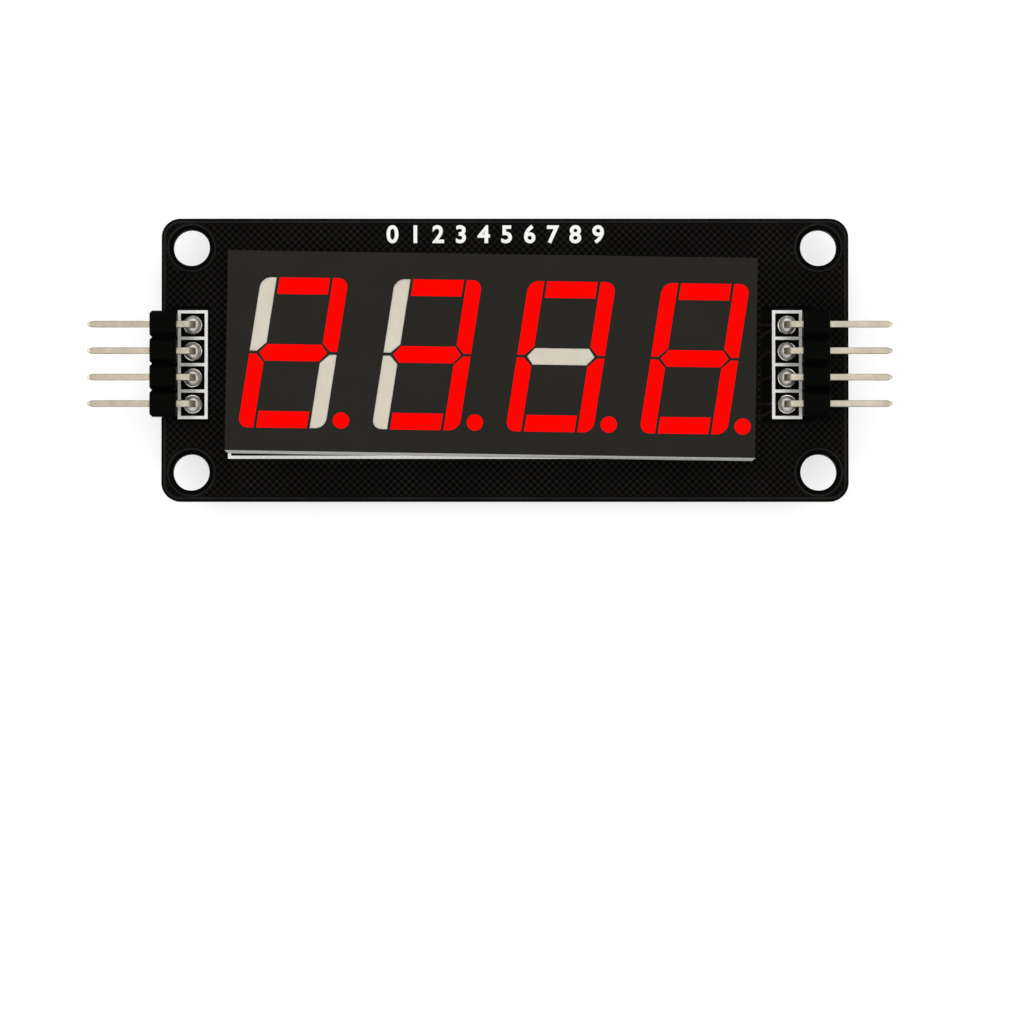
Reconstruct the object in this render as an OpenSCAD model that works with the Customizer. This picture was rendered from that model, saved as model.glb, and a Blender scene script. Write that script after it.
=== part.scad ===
// Four digit seven segment display module, face up.
// The origin is the centre of the mounting holes, on the back face of the circuit board.

/* [Circuit board] */
// Board left of the display
margin_left = 6.55; // [6:0.05:12]
// Board right of the display
margin_right = 9.15; // [8.5:0.05:14]
// Board above the display
margin_top = 3.95; // [3.5:0.05:12]
// Board below the display
margin_bottom = 4.25; // [3.5:0.05:12]
// Thickness of the board
board_t = 1.6; // [0.8:0.2:2.4]
// Radius of the board's corners
board_r = 1.8; // [0.5:0.1:2.8]
// Diameter of the four mounting holes
mount_hole_d = 3.5; // [2:0.1:3.6]
// Distance of the mounting holes from the short edges
mount_inset_x = 2.88; // [2.6:0.02:3.4]
// Distance of the mounting holes from the long edges
mount_inset_y = 2.8; // [2.6:0.05:3.2]

/* [Plated holes] */
// Diameter of the header holes
header_hole_d = 1; // [0.95:0.05:1.2]
// Diameter of the tinned rings round the header holes
header_pad_d = 1.75; // [1.5:0.05:2]
// Diameter of the display's pin holes
display_hole_d = 0.9; // [0.85:0.05:1.1]
// Diameter of the tinned rings round the display's pin holes
display_pad_d = 1.6; // [1.4:0.05:1.8]
// Thickness of the copper and its plating
copper_t = 0.05; // [0.03:0.01:0.1]

/* [Display] */
// Depth of the display from its face to its base
display_h = 8; // [6:0.5:12]
// How much narrower the display is than the pitches of its digits
display_trim = 0.5; // [0.2:0.05:0.8]
// Height of the face above and below the digits
face_border = 2.35; // [1.8:0.05:4]
// Turn of the display on its pins, clockwise, that the loose pin holes allow
display_skew = 0.86; // [0:0.02:1]
// Thickness of the dark face layer
face_t = 0.12; // [0.05:0.01:0.3]
// Outer wall of the white housing round its back
housing_wall = 0.8; // [0.5:0.1:1.5]
// Thickness of the inner board
inner_board_t = 1; // [0.6:0.1:1.6]
// Thickness of the sealing compound behind the inner board
sealing_t = 0.9; // [0.5:0.1:1.5]
// Diameter of the display's pins
display_pin_d = 0.5; // [0.4:0.02:0.52]
// Distance of the rows of pins from the display's long sides
pin_row_inset = 1.88; // [1.4:0.01:2]
// Length of the display's pins that shows behind the board
display_pin_out = 1.1; // [0.8:0.1:1.5]

/* [Digits] */
// Distance from one digit to the next
digit_pitch = 12.7; // [12:0.1:13]
// Place of the row of digits from the middle of the face, across
digits_x = 0.25; // [-0.2:0.05:0.3]
// Place of the row of digits from the middle of the face, up
digits_y = -0.16; // [-0.4:0.02:0.4]
// Height of a digit
digit_h = 14.3; // [13:0.1:20]
// Space between neighbouring digits, along one level
digit_space = 4.4; // [4.2:0.05:6]
// Lean of the digits
slant = 8; // [0:1:9]
// Width of the upright segments
upright_w = 1.48; // [1.2:0.02:1.8]
// Height of the top and bottom segments
bar_h = 1.58; // [1.3:0.02:1.9]
// Height of the middle segment
middle_h = 1.58; // [1.3:0.02:1.8]
// Length of the middle segment's points
middle_tip = 0.65; // [0.5:0.05:1]
// Gap between neighbouring segments
segment_gap = 0.28; // [0.15:0.01:0.4]
// Radius of the digit's outer corners
digit_r = 0.95; // [0.4:0.05:1.1]
// Diameter of the decimal points
point_d = 1.55; // [1:0.05:1.7]
// Gap between a digit's lower right corner and its decimal point
point_gap = 0.72; // [0.4:0.02:0.84]
// Length of a well's floor, as a share of its segment's length
well_narrow_l = 0.3; // [0.2:0.05:0.6]
// Width of a well's floor, as a share of its segment's width
well_narrow_w = 0.72; // [0.5:0.02:0.9]
// Diameter of a point's well at its floor, as a share of the point
point_narrow = 0.6; // [0.4:0.05:0.9]
// Size of an LED die
die_w = 0.3; // [0.2:0.02:0.4]
// Thickness of an LED die
die_t = 0.2; // [0.1:0.02:0.3]

/* [Headers] */
// Distance of the left header's holes from the left edge
left_header_inset = 3; // [2.2:0.1:3.4]
// Distance of the right header's holes from the right edge
right_header_inset = 5.9; // [5.5:0.1:6.2]
// Place of the headers, up the board
header_y = -0.45; // [-1:0.05:1]
// Distance from one header pin to the next
pin_pitch = 2.54; // [2.5:0.01:2.6]
// Thickness of the square header pins
pin_t = 0.64; // [0.5:0.01:0.65]
// Distance of a header's body from its holes
header_gap = 1.5; // [1.3:0.1:2]
// Width of a header's body, along its pins
header_w = 2.54; // [2:0.02:3]
// Height of a header's body
header_h = 2.54; // [2:0.02:3]
// Chamfer of each unit of a header's body
header_chamfer = 0.45; // [0.2:0.05:0.6]
// Length of the mating pins
pin_out = 6; // [5:0.5:12]
// Length of the header pins that shows behind the board
pin_tail = 1.4; // [1:0.1:1.7]
// Inner radius of the pins' bend
pin_bend_r = 0.35; // [0.2:0.05:0.5]
// Chamfer of the pins' ends
pin_chamfer = 0.2; // [0.1:0.02:0.25]

/* [Driver chip] */
// Length of the chip's body
chip_w = 12.8; // [12.2:0.1:16]
// Clearance from the display's rows of pins to the chip's leads
lead_row_gap = 2.47; // [2.2:0.01:3]
// How far the leads reach out from the chip's body
lead_reach = 1.4; // [1.3:0.05:2]
// Thickness of the chip's body
chip_h = 2.3; // [2.2:0.05:2.6]
// Gap between the chip's body and the board
chip_standoff = 0.15; // [0.1:0.05:0.3]
// Place of the chip's centre, across the board
chip_x = -0.84; // [-1:0.02:-0.7]
// Draft of the chip's moulded sides
chip_draft = 0.12; // [0.05:0.01:0.3]
// Distance from one lead to the next
lead_pitch = 1.27; // [1.25:0.01:1.3]
// Width of a lead
lead_w = 0.41; // [0.3:0.01:0.5]
// Thickness of a lead
lead_t = 0.25; // [0.15:0.01:0.3]
// Length of a lead's foot
foot_l = 0.7; // [0.5:0.05:0.9]
// Diameter of the pin-one dimple
dimple_d = 0.9; // [0.6:0.1:1.2]
// Depth of the pin-one dimple
dimple_depth = 0.1; // [0.05:0.01:0.2]
// Length of the chip's solder pads
chip_pad_l = 1.8; // [1.5:0.05:1.85]
// How far the chip's solder pads run past the leads
chip_pad_toe = 0.95; // [0.9:0.05:1.1]
// Width of the chip's solder pads
chip_pad_w = 0.6; // [0.5:0.02:0.7]

/* [Chip parts] */
// Distance of the first column of chip parts from the driver chip's end
part_gap = 3.46; // [2:0.02:6]
// Distance of the first row of chip parts from the board's upper edge
part_inset_y = 8.5; // [5:0.05:9]
// Distance from one column of chip parts to the next
part_pitch_x = 2.06; // [2:0.01:2.3]
// Distance from one row of chip parts to the next
part_pitch_y = 3.6; // [3.5:0.01:3.8]
// Length of a chip part
part_l = 1.6; // [1.4:0.05:1.8]
// Width of a chip part
part_w = 0.85; // [0.7:0.05:1]
// Height of a resistor
resistor_h = 0.5; // [0.35:0.05:0.7]
// Height of a capacitor
capacitor_h = 0.8; // [0.5:0.05:1]
// Height of the power light's lens
lens_h = 0.7; // [0.5:0.05:1]
// Length of a part's tinned ends
end_l = 0.35; // [0.2:0.01:0.45]
// Thickness of the tin on a part's ends
end_t = 0.04; // [0.02:0.01:0.06]
// Length over a chip part's solder pads
part_pads_l = 2.7; // [2.4:0.05:2.8]
// Length of each of a chip part's solder pads
part_pad_l = 0.9; // [0.7:0.05:1]
// Width of a chip part's solder pads
part_pad_w = 0.95; // [0.9:0.05:1.1]

/* [Print] */
// Thickness of the printed ink
print_t = 0.03; // [0.02:0.01:0.05]
// Width of the printed lines
line_w = 0.3; // [0.2:0.02:0.35]
// Width of the cells printed round the header holes
cell_w = 2.58; // [2.4:0.02:2.7]
// Outer diameter of the rings printed round the mounting holes
ring_d = 5.2; // [4.6:0.1:5.2]
// Length of the brackets printed round a chip part
bracket_l = 3.4; // [3.3:0.02:3.44]
// Width of the brackets printed round a chip part
bracket_w = 1.8; // [1.7:0.02:1.9]
// Length of each bracket's arms
bracket_arm = 1.1; // [0.8:0.05:1.3]
// Width of the lines of the brackets
bracket_line = 0.24; // [0.2:0.01:0.26]
// Distance of the colour squares from the right header's holes
square_gap = 8.6; // [7:0.1:14]
// Place of the first colour square, up the board
square_y = 2.65; // [2:0.05:4]
// Distance from one colour square to the next
square_pitch = 1.49; // [1.3:0.01:1.8]
// Size of a colour square
square_w = 1; // [0.8:0.05:1.1]
// Diameter of the printed circle at pin one
pin_one_d = 0.7; // [0.6:0.02:0.9]

/* [Hidden] */
digit_count = 4;
header_pin_count = 4;
display_pins_in_row = 6;
chip_leads_in_row = 10;
square_count = 5;
marked_square = 3;
eps = 0.01;
$fn = 48;

// Segments are named a to g clockwise from the top, with the point as p.
lit = ["abdegp", "abcdgp", "abcdefp", "abcdefgp"];
unlit = ["cf", "ef", "g", ""];

// Outer sizes, from the digits outwards.
display_w = digit_count * digit_pitch - display_trim;
display_d = digit_h + 2 * face_border;
board_w = margin_left + display_w + margin_right;
board_d = margin_bottom + display_d + margin_top;
display_x = (margin_left - margin_right) / 2;
display_y = (margin_bottom - margin_top) / 2;
digit_w = digit_pitch - digit_space;
point_x = digit_w / 2 - digit_h / 2 * tan(slant) + point_gap + point_d / 2;
point_y = -digit_h / 2 + point_d / 2;

// The driver chip lies between the display's rows of pins.
pin_row_gap = display_d - 2 * pin_row_inset;
lead_span = pin_row_gap - 2 * lead_row_gap;
chip_d = lead_span - 2 * lead_reach;
part_x = chip_x - chip_w / 2 - part_gap;
part_y = board_d / 2 - part_inset_y;

// Levels, counted from the back face of the board.
base_z = board_t + print_t;
face_z = base_z + display_h;
inner_board_z = base_z + sealing_t;
well_z = inner_board_z + inner_board_t;
well_h = face_z - well_z;
header_z = board_t + header_h / 2;
chip_z = -copper_t - chip_standoff;
lead_z = chip_z - chip_h / 2;

// Places of what repeats.
mount_x = board_w / 2 - mount_inset_x;
mount_y = board_d / 2 - mount_inset_y;
left_header_x = -board_w / 2 + left_header_inset;
right_header_x = board_w / 2 - right_header_inset;
header_rows = [for (i = [0:header_pin_count - 1]) header_y + (i - (header_pin_count - 1) / 2) * pin_pitch];
display_pin_xs = [for (i = [0:display_pins_in_row - 1]) (i - (display_pins_in_row - 1) / 2) * pin_pitch];
digit_xs = [for (i = [0:digit_count - 1]) (i - (digit_count - 1) / 2) * digit_pitch];
lead_xs = [for (i = [0:chip_leads_in_row - 1]) (i - (chip_leads_in_row - 1) / 2) * lead_pitch];

// Each chip part by its name, column, row and kind.
capacitors = [[0, 0], [1, 0], [2, 2], [3, 2]];
resistors = [[2, 0], [2, 1], [3, 1]];
power_light = [3, 0];

NODES = concat(
    ["circuit_board", "front_print", "back_print", "colour_mark", "hole_plating", "surface_pads"],
    ["display_housing", "display_face", "display_inner_board", "display_sealing", "led_dice"],
    [for (i = [1:digit_count]) str("digit_", i, "_lit")],
    [for (i = [1:digit_count]) if (len(unlit[i - 1]) > 0) str("digit_", i, "_unlit")],
    ["display_pins", "display_solder"],
    ["left_header_body", "left_header_pins", "left_header_solder"],
    ["right_header_body", "right_header_pins", "right_header_solder"],
    ["driver_chip_body", "driver_chip_leads", "driver_chip_solder"],
    [for (i = [1:len(resistors)], k = ["body", "ends"]) str("resistor_", i, "_", k)],
    [for (i = [1:len(capacitors)], k = ["body", "ends"]) str("capacitor_", i, "_", k)],
    ["power_light_base", "power_light_lens", "power_light_ends", "chip_part_solder"]
);
node = "all";

function shown(name) = node == "all" || node == name;
function lean(points) = [for (p = points) [p[0] + p[1] * tan(slant), p[1]]];
function flip(points, sx, sy) = [for (p = points) [p[0] * sx, p[1] * sy]];
function middle(points) = [for (k = [0, 1]) (min([for (p = points) p[k]]) + max([for (p = points) p[k]])) / 2];

// Outline of the upper left upright: a rounded outer corner above, a slanted foot below.
function upright() =
    let (outer = digit_w / 2, inner = digit_w / 2 - upright_w, top = digit_h / 2)
    let (foot_x = digit_w / 2 - upright_w / 2 + segment_gap * (sqrt(2) - 1) / 2)
    concat(
        [[-outer, segment_gap / 2], [-foot_x, segment_gap / 2]],
        [[-inner, upright_w / 2 + segment_gap / sqrt(2)], [-inner, top]],
        [for (a = [90:15:180]) [-outer + digit_r + digit_r * cos(a), top - digit_r + digit_r * sin(a)]]
    );

// Outline of the top bar, between the two uprights.
function bar() =
    let (end_x = digit_w / 2 - upright_w - segment_gap)
    [[-end_x, digit_h / 2 - bar_h], [end_x, digit_h / 2 - bar_h], [end_x, digit_h / 2], [-end_x, digit_h / 2]];

// Outline of the middle bar, pointed at both ends.
function middle_bar() =
    let (tip_x = digit_w / 2 - upright_w / 2 - segment_gap / sqrt(2))
    let (shoulder_x = tip_x - middle_tip)
    [[-tip_x, 0], [-shoulder_x, -middle_h / 2], [shoulder_x, -middle_h / 2],
     [tip_x, 0], [shoulder_x, middle_h / 2], [-shoulder_x, middle_h / 2]];

function segment(s) = lean(
    s == "a" ? bar() :
    s == "b" ? flip(upright(), -1, 1) :
    s == "c" ? flip(upright(), -1, -1) :
    s == "d" ? flip(bar(), 1, -1) :
    s == "e" ? flip(upright(), 1, -1) :
    s == "f" ? upright() : middle_bar());

// How far a well narrows from the face down to its die, along and across the segment.
function well_scale(s) =
    s == "a" || s == "d" || s == "g" ? [well_narrow_l, well_narrow_w] : [well_narrow_w, well_narrow_l];
module rounded_rect(w, d, r) {
    square([w - 2 * r, d], center = true);
    square([w, d - 2 * r], center = true);
    for (x = [-1, 1], y = [-1, 1])
        translate([x * (w / 2 - r), y * (d / 2 - r)])
            circle(r);
}

module frame_2d(w, d, line) {
    difference() {
        square([w + line, d + line], center = true);
        square([w - line, d - line], center = true);
    }
}

module ring_2d(outer_d, inner_d) {
    difference() {
        circle(d = outer_d);
        circle(d = inner_d);
    }
}

module at_mounts() {
    for (x = [-mount_x, mount_x], y = [-mount_y, mount_y])
        translate([x, y, 0])
            children();
}

module at_header_holes(x) {
    for (y = header_rows)
        translate([x, y, 0])
            children();
}

// The display's holes lie square on the board. Its pins turn with it.
module at_display_grid() {
    for (x = display_pin_xs, y = [-pin_row_gap / 2, pin_row_gap / 2])
        translate([x, y, 0])
            children();
}

module at_display_holes() {
    translate([display_x, display_y, 0])
        at_display_grid()
            children();
}

module on_display() {
    translate([display_x, display_y, 0])
        rotate(-display_skew)
            children();
}

module at_digits() {
    for (x = digit_xs)
        translate([digits_x + x, digits_y, 0])
            children();
}

module at_part(place) {
    translate([part_x - place[0] * part_pitch_x, part_y - place[1] * part_pitch_y, 0])
        children();
}

module at_all_parts() {
    for (place = concat(capacitors, resistors, [power_light]))
        at_part(place)
            children();
}

// Circuit board and what is plated or printed on it

module circuit_board() {
    color([0.05, 0.045, 0.045])
        difference() {
            linear_extrude(board_t)
                rounded_rect(board_w, board_d, board_r);
            translate([0, 0, -eps]) {
                at_mounts()
                    cylinder(h = board_t + 2 * eps, d = mount_hole_d);
                for (x = [left_header_x, right_header_x])
                    at_header_holes(x)
                        cylinder(h = board_t + 2 * eps, d = header_hole_d + 2 * copper_t);
                at_display_holes()
                    cylinder(h = board_t + 2 * eps, d = display_hole_d + 2 * copper_t);
            }
        }
}

// A plated hole: a thin tube through the board with a flat ring on each face.
module plated_hole(hole_d, pad_d) {
    bore = hole_d / 2;
    rim = pad_d / 2;
    rotate_extrude()
        polygon([
            [bore, -copper_t], [rim, -copper_t], [rim, 0], [bore + copper_t, 0],
            [bore + copper_t, board_t], [rim, board_t], [rim, board_t + copper_t], [bore, board_t + copper_t]
        ]);
}

module hole_plating() {
    color("silver") {
        for (x = [left_header_x, right_header_x])
            at_header_holes(x)
                plated_hole(header_hole_d, header_pad_d);
        difference() {
            at_display_holes()
                plated_hole(display_hole_d, display_pad_d);
            on_display()
                translate([0, 0, base_z])
                    linear_extrude(display_h)
                        square([display_w, display_d], center = true);
        }
    }
}

module surface_pads() {
    pad_y = lead_span / 2 + chip_pad_toe - chip_pad_l / 2;
    part_pad_y = part_pads_l / 2 - part_pad_l / 2;
    color("silver")
        translate([0, 0, -copper_t])
            linear_extrude(copper_t) {
                for (x = lead_xs, y = [-pad_y, pad_y])
                    translate([chip_x + x, y])
                        square([chip_pad_w, chip_pad_l], center = true);
                at_all_parts()
                    for (y = [-part_pad_y, part_pad_y])
                        translate([0, y])
                            square([part_pad_w, part_pad_l], center = true);
            }
}

module header_cells() {
    for (y = header_rows)
        translate([0, y])
            frame_2d(cell_w, pin_pitch, line_w);
}

module front_print() {
    color("white")
        translate([0, 0, board_t])
            linear_extrude(print_t) {
                for (x = [left_header_x, right_header_x])
                    translate([x, 0])
                        header_cells();
                translate([display_x, display_y])
                    frame_2d(display_w, display_d, line_w);
            }
}

// A pair of facing brackets round a chip part, with cut corners where asked.
module brackets(cut) {
    outer_l = bracket_l / 2;
    outer_w = bracket_w / 2;
    for (s = [-1, 1])
        mirror([0, s > 0 ? 0 : 1])
            difference() {
                polygon([
                    [-outer_w, outer_l - bracket_arm], [outer_w, outer_l - bracket_arm], [outer_w, outer_l - cut],
                    [outer_w - cut, outer_l], [-outer_w + cut, outer_l], [-outer_w, outer_l - cut]
                ]);
                polygon([
                    [-outer_w + bracket_line, outer_l - bracket_arm - eps],
                    [outer_w - bracket_line, outer_l - bracket_arm - eps],
                    [outer_w - bracket_line, outer_l - max(cut, bracket_line)],
                    [outer_w - max(cut, bracket_line), outer_l - bracket_line],
                    [-outer_w + max(cut, bracket_line), outer_l - bracket_line],
                    [-outer_w + bracket_line, outer_l - max(cut, bracket_line)]
                ]);
            }
}

bracket_cut = 0.12;
light_cut = 0.36;
outline_gap_x = 0.31;
outline_gap_y = 0.23;
notch_w = 1.7;

module chip_outline() {
    difference() {
        frame_2d(chip_w + 2 * outline_gap_x, chip_d + 2 * outline_gap_y, line_w);
        translate([chip_w / 2 + outline_gap_x, 0])
            square([2 * line_w, notch_w], center = true);
    }
}

module colour_squares(which) {
    for (i = which)
        translate([right_header_x - square_gap, square_y - i * square_pitch])
            square(square_w, center = true);
}

module back_print() {
    color("white")
        translate([0, 0, -print_t])
            linear_extrude(print_t) {
                at_mounts()
                    ring_2d(ring_d, ring_d - 2 * line_w);
                translate([chip_x, 0])
                    chip_outline();
                for (place = concat(capacitors, resistors))
                    at_part(place)
                        brackets(bracket_cut);
                at_part(power_light)
                    brackets(light_cut);
                colour_squares([for (i = [0:square_count - 1]) if (i != marked_square) i]);
                translate([chip_x + chip_w / 2 + pin_one_d / 2, -lead_span / 2])
                    ring_2d(pin_one_d, pin_one_d / 2);
            }
}

module colour_mark() {
    color("black")
        translate([0, 0, -print_t])
            linear_extrude(print_t)
                colour_squares([marked_square]);
}

// Display

// What fills a segment's well: the segment's outline at the face, narrowing towards its die.
module segment_well(s) {
    outline = segment(s);
    c = middle(outline);
    translate([c[0], c[1], face_z])
        mirror([0, 0, 1])
            linear_extrude(well_h, scale = well_scale(s), slices = 1, segments = 0)
                translate(-c)
                    polygon(outline);
}

module point_well() {
    translate([point_x, point_y, well_z])
        cylinder(h = well_h, d1 = point_d * point_narrow, d2 = point_d);
}

module wells(letters) {
    for (s = letters) {
        if (s == "p")
            point_well();
        else
            segment_well(s);
    }
}

// Where each of the dice sits, under the middle of its segment.
module dice(letters) {
    for (s = letters) {
        c = s == "p" ? [point_x, point_y] : middle(segment(s));
        translate([c[0] - die_w / 2, c[1] - die_w / 2, well_z])
            cube([die_w, die_w, die_t]);
    }
}

module display_housing() {
    color("white")
        on_display()
            difference() {
                translate([0, 0, base_z])
                    linear_extrude(display_h - face_t)
                        square([display_w, display_d], center = true);
                translate([0, 0, base_z - eps])
                    linear_extrude(sealing_t + inner_board_t + eps)
                        square([display_w - 2 * housing_wall, display_d - 2 * housing_wall], center = true);
                at_digits()
                    wells("abcdefgp");
            }
}

module display_face() {
    color([0.155, 0.15, 0.14])
        on_display()
            translate([0, 0, face_z - face_t])
                linear_extrude(face_t)
                    difference() {
                        square([display_w, display_d], center = true);
                        at_digits() {
                            for (s = "abcdefg")
                                polygon(segment(s));
                            translate([point_x, point_y])
                                circle(d = point_d);
                        }
                    }
}

module light_guides(i, letters) {
    on_display()
        translate([digits_x + digit_xs[i - 1], digits_y, 0])
            difference() {
                wells(letters);
                dice(letters);
            }
}

module digit_lit(i) {
    color("red")
        light_guides(i, lit[i - 1]);
}

module digit_unlit(i) {
    color([0.85, 0.83, 0.77])
        light_guides(i, unlit[i - 1]);
}

module led_dice() {
    color("gold")
        on_display()
            at_digits()
                dice("abcdefgp");
}

module display_back_plate(z, t) {
    on_display()
        difference() {
            translate([0, 0, z])
                linear_extrude(t)
                    square([display_w - 2 * housing_wall, display_d - 2 * housing_wall], center = true);
            translate([0, 0, z - eps])
                at_display_grid()
                    cylinder(h = t + 2 * eps, d = display_pin_d);
        }
}

module display_inner_board() {
    color("darkgreen")
        display_back_plate(inner_board_z, inner_board_t);
}

module display_sealing() {
    color([0.8, 0.8, 0.76])
        display_back_plate(base_z, sealing_t);
}

module display_pins() {
    color("silver")
        on_display()
            at_display_grid()
                translate([0, 0, -display_pin_out])
                    cylinder(h = display_pin_out + well_z, d = display_pin_d);
}

// Side of a solder dome: from the pad's edge in to the pin, over a height that may point down.
function dome_side(base_r, tip_r, z, rise) = [
    for (k = [0:solder_steps])
        let (up = k / solder_steps)
        [tip_r + (base_r - tip_r) * pow(1 - up, solder_round), z + rise * up]
];

// Solder joint: fills its hole and stands in a dome round the pin behind the board, and before it
// too if it has a collar.
module solder_joint(hole_d, pad_d, pin_w, rise, collar) {
    base_r = pad_d / 2 - solder_margin;
    tip_r = pin_w / 2 + solder_skin;
    front_z = board_t + copper_t;
    front = dome_side(base_r, tip_r, front_z, collar);
    rotate_extrude()
        polygon(concat(
            collar > 0 ? [[0, front_z + collar]] : [[0, board_t]],
            collar > 0 ? [for (k = [solder_steps:-1:0]) front[k]] : [],
            [[hole_d / 2, collar > 0 ? front_z : board_t], [hole_d / 2, -copper_t]],
            dome_side(base_r, tip_r, -copper_t, -rise),
            [[0, -copper_t - rise]]
        ));
}
solder_margin = 0.03;
solder_skin = 0.08;
solder_steps = 6;
solder_round = 0.6;
solder_rise = 0.75;
solder_collar = 0.45;

module display_solder() {
    color("silver")
        difference() {
            at_display_holes()
                solder_joint(display_hole_d, display_pad_d, display_pin_d, solder_rise, 0);
            on_display()
                at_display_grid()
                    translate([0, 0, -2 * display_pin_out])
                        cylinder(h = 2 * display_pin_out + base_z, d = display_pin_d);
        }
}

// Headers

// A header's body: a row of eight-sided units, cut at their corners seen from above too.
module header_body() {
    c = header_chamfer;
    length = header_pin_count * pin_pitch;
    unit = [
        [-pin_pitch / 2, -header_h / 2 + c], [-pin_pitch / 2 + c, -header_h / 2],
        [pin_pitch / 2 - c, -header_h / 2], [pin_pitch / 2, -header_h / 2 + c],
        [pin_pitch / 2, header_h / 2 - c], [pin_pitch / 2 - c, header_h / 2],
        [-pin_pitch / 2 + c, header_h / 2], [-pin_pitch / 2, header_h / 2 - c]
    ];
    top_c = c / 2;
    top = [
        [0, -pin_pitch / 2 + top_c], [top_c, -pin_pitch / 2], [header_w - top_c, -pin_pitch / 2],
        [header_w, -pin_pitch / 2 + top_c], [header_w, pin_pitch / 2 - top_c],
        [header_w - top_c, pin_pitch / 2], [top_c, pin_pitch / 2], [0, pin_pitch / 2 - top_c]
    ];
    translate([header_gap, 0, header_z])
        difference() {
            intersection() {
                rotate([90, 0, 90])
                    linear_extrude(header_w)
                        for (y = header_rows)
                            translate([y, 0])
                                polygon(unit);
                translate([0, 0, -header_h / 2])
                    linear_extrude(header_h)
                        for (y = header_rows)
                            translate([0, y])
                                polygon(top);
            }
            for (y = header_rows)
                translate([-eps, y - pin_t / 2, -pin_t / 2])
                    cube([header_w + 2 * eps, pin_t, pin_t]);
        }
}

// Side outline of a header pin: from its mating end, round the bend, down through the board.
module pin_side() {
    tip_x = header_gap + header_w + pin_out;
    tail_z = -pin_tail;
    bend = pin_bend_r + pin_t / 2;
    translate([bend, header_z - bend])
        intersection() {
            ring_2d(2 * (bend + pin_t / 2), 2 * pin_bend_r);
            translate([-bend - pin_t, 0])
                square([bend + pin_t, bend + pin_t]);
        }
    polygon([
        [bend, header_z - pin_t / 2], [tip_x - pin_chamfer, header_z - pin_t / 2],
        [tip_x, header_z - pin_t / 2 + pin_chamfer], [tip_x, header_z + pin_t / 2 - pin_chamfer],
        [tip_x - pin_chamfer, header_z + pin_t / 2], [bend, header_z + pin_t / 2]
    ]);
    polygon([
        [-pin_t / 2, header_z - bend], [-pin_t / 2, tail_z + pin_chamfer], [-pin_t / 2 + pin_chamfer, tail_z],
        [pin_t / 2 - pin_chamfer, tail_z], [pin_t / 2, tail_z + pin_chamfer], [pin_t / 2, header_z - bend]
    ]);
}

module header_pin() {
    tip_x = header_gap + header_w + pin_out;
    intersection() {
        rotate([90, 0, 0])
            linear_extrude(pin_t, center = true)
                pin_side();
        translate([0, 0, -pin_tail])
            linear_extrude(pin_tail + header_z + header_h)
                polygon([
                    [-pin_t / 2, -pin_t / 2], [tip_x - pin_chamfer, -pin_t / 2], [tip_x, -pin_t / 2 + pin_chamfer],
                    [tip_x, pin_t / 2 - pin_chamfer], [tip_x - pin_chamfer, pin_t / 2], [-pin_t / 2, pin_t / 2]
                ]);
    }
}

module header_pins() {
    at_header_holes(0)
        header_pin();
}

module header_solder() {
    difference() {
        at_header_holes(0)
            solder_joint(header_hole_d, header_pad_d, pin_t * sqrt(2), solder_rise, solder_collar);
        at_header_holes(0)
            translate([0, 0, -pin_tail])
                linear_extrude(pin_tail + board_t + copper_t + solder_collar + eps)
                    square(pin_t, center = true);
    }
}

// The right header points to the right, and the left one is turned over to the left.
module at_right_header() {
    translate([right_header_x, 0, 0])
        children();
}

module at_left_header() {
    translate([left_header_x, 0, 0])
        mirror([1, 0, 0])
            children();
}

module left_header_body() {
    color([0.1, 0.1, 0.1])
        at_left_header()
            header_body();
}

module left_header_pins() {
    color([0.8, 0.78, 0.7])
        at_left_header()
            header_pins();
}

module left_header_solder() {
    color("silver")
        at_left_header()
            header_solder();
}

module right_header_body() {
    color([0.1, 0.1, 0.1])
        at_right_header()
            header_body();
}

module right_header_pins() {
    color([0.8, 0.78, 0.7])
        at_right_header()
            header_pins();
}

module right_header_solder() {
    color("silver")
        at_right_header()
            header_solder();
}

// Driver chip

parting_t = 0.25;
dimple_inset_x = 1.1;
dimple_inset_y = 1.55;

// Half of the moulded body: a plate that narrows by its draft away from the parting line.
module chip_half(h) {
    narrowing = [1 - 2 * chip_draft / chip_w, 1 - 2 * chip_draft / chip_d];
    linear_extrude(h, scale = narrowing, slices = 1, segments = 0)
        square([chip_w, chip_d], center = true);
}

module driver_chip_body() {
    half_h = chip_h / 2 - parting_t / 2;
    color([0.3, 0.29, 0.29])
        translate([chip_x, 0, lead_z])
            difference() {
                union() {
                    translate([0, 0, parting_t / 2])
                        chip_half(half_h);
                    translate([0, 0, -parting_t / 2])
                        linear_extrude(parting_t)
                            square([chip_w, chip_d], center = true);
                    mirror([0, 0, 1])
                        translate([0, 0, parting_t / 2])
                            chip_half(half_h);
                }
                translate([chip_w / 2 - dimple_inset_x, -chip_d / 2 + dimple_inset_y, -chip_h / 2 - eps])
                    cylinder(h = dimple_depth + eps, d = dimple_d);
            }
}

// Points of a strip of even thickness along a path, out on one side and back on the other.
function path_normal(p, i) =
    let (a = p[max(i - 1, 0)], b = p[i], c = p[min(i + 1, len(p) - 1)])
    let (u = i > 0 ? (b - a) / norm(b - a) : (c - b) / norm(c - b))
    let (v = i < len(p) - 1 ? (c - b) / norm(c - b) : u)
    let (n = [-u[1] - v[1], u[0] + v[0]])
    n / (1 + u * v);
function strip(p, t) = concat(
    [for (i = [0:len(p) - 1]) p[i] + path_normal(p, i) * t / 2],
    [for (i = [len(p) - 1:-1:0]) p[i] - path_normal(p, i) * t / 2]);

lead_bend_r = 0.2;
lead_lean = 8;

function arc(c, r, from, to) = [for (k = [0:4]) let (a = from + (to - from) * k / 4) c + r * [cos(a), sin(a)]];

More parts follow.
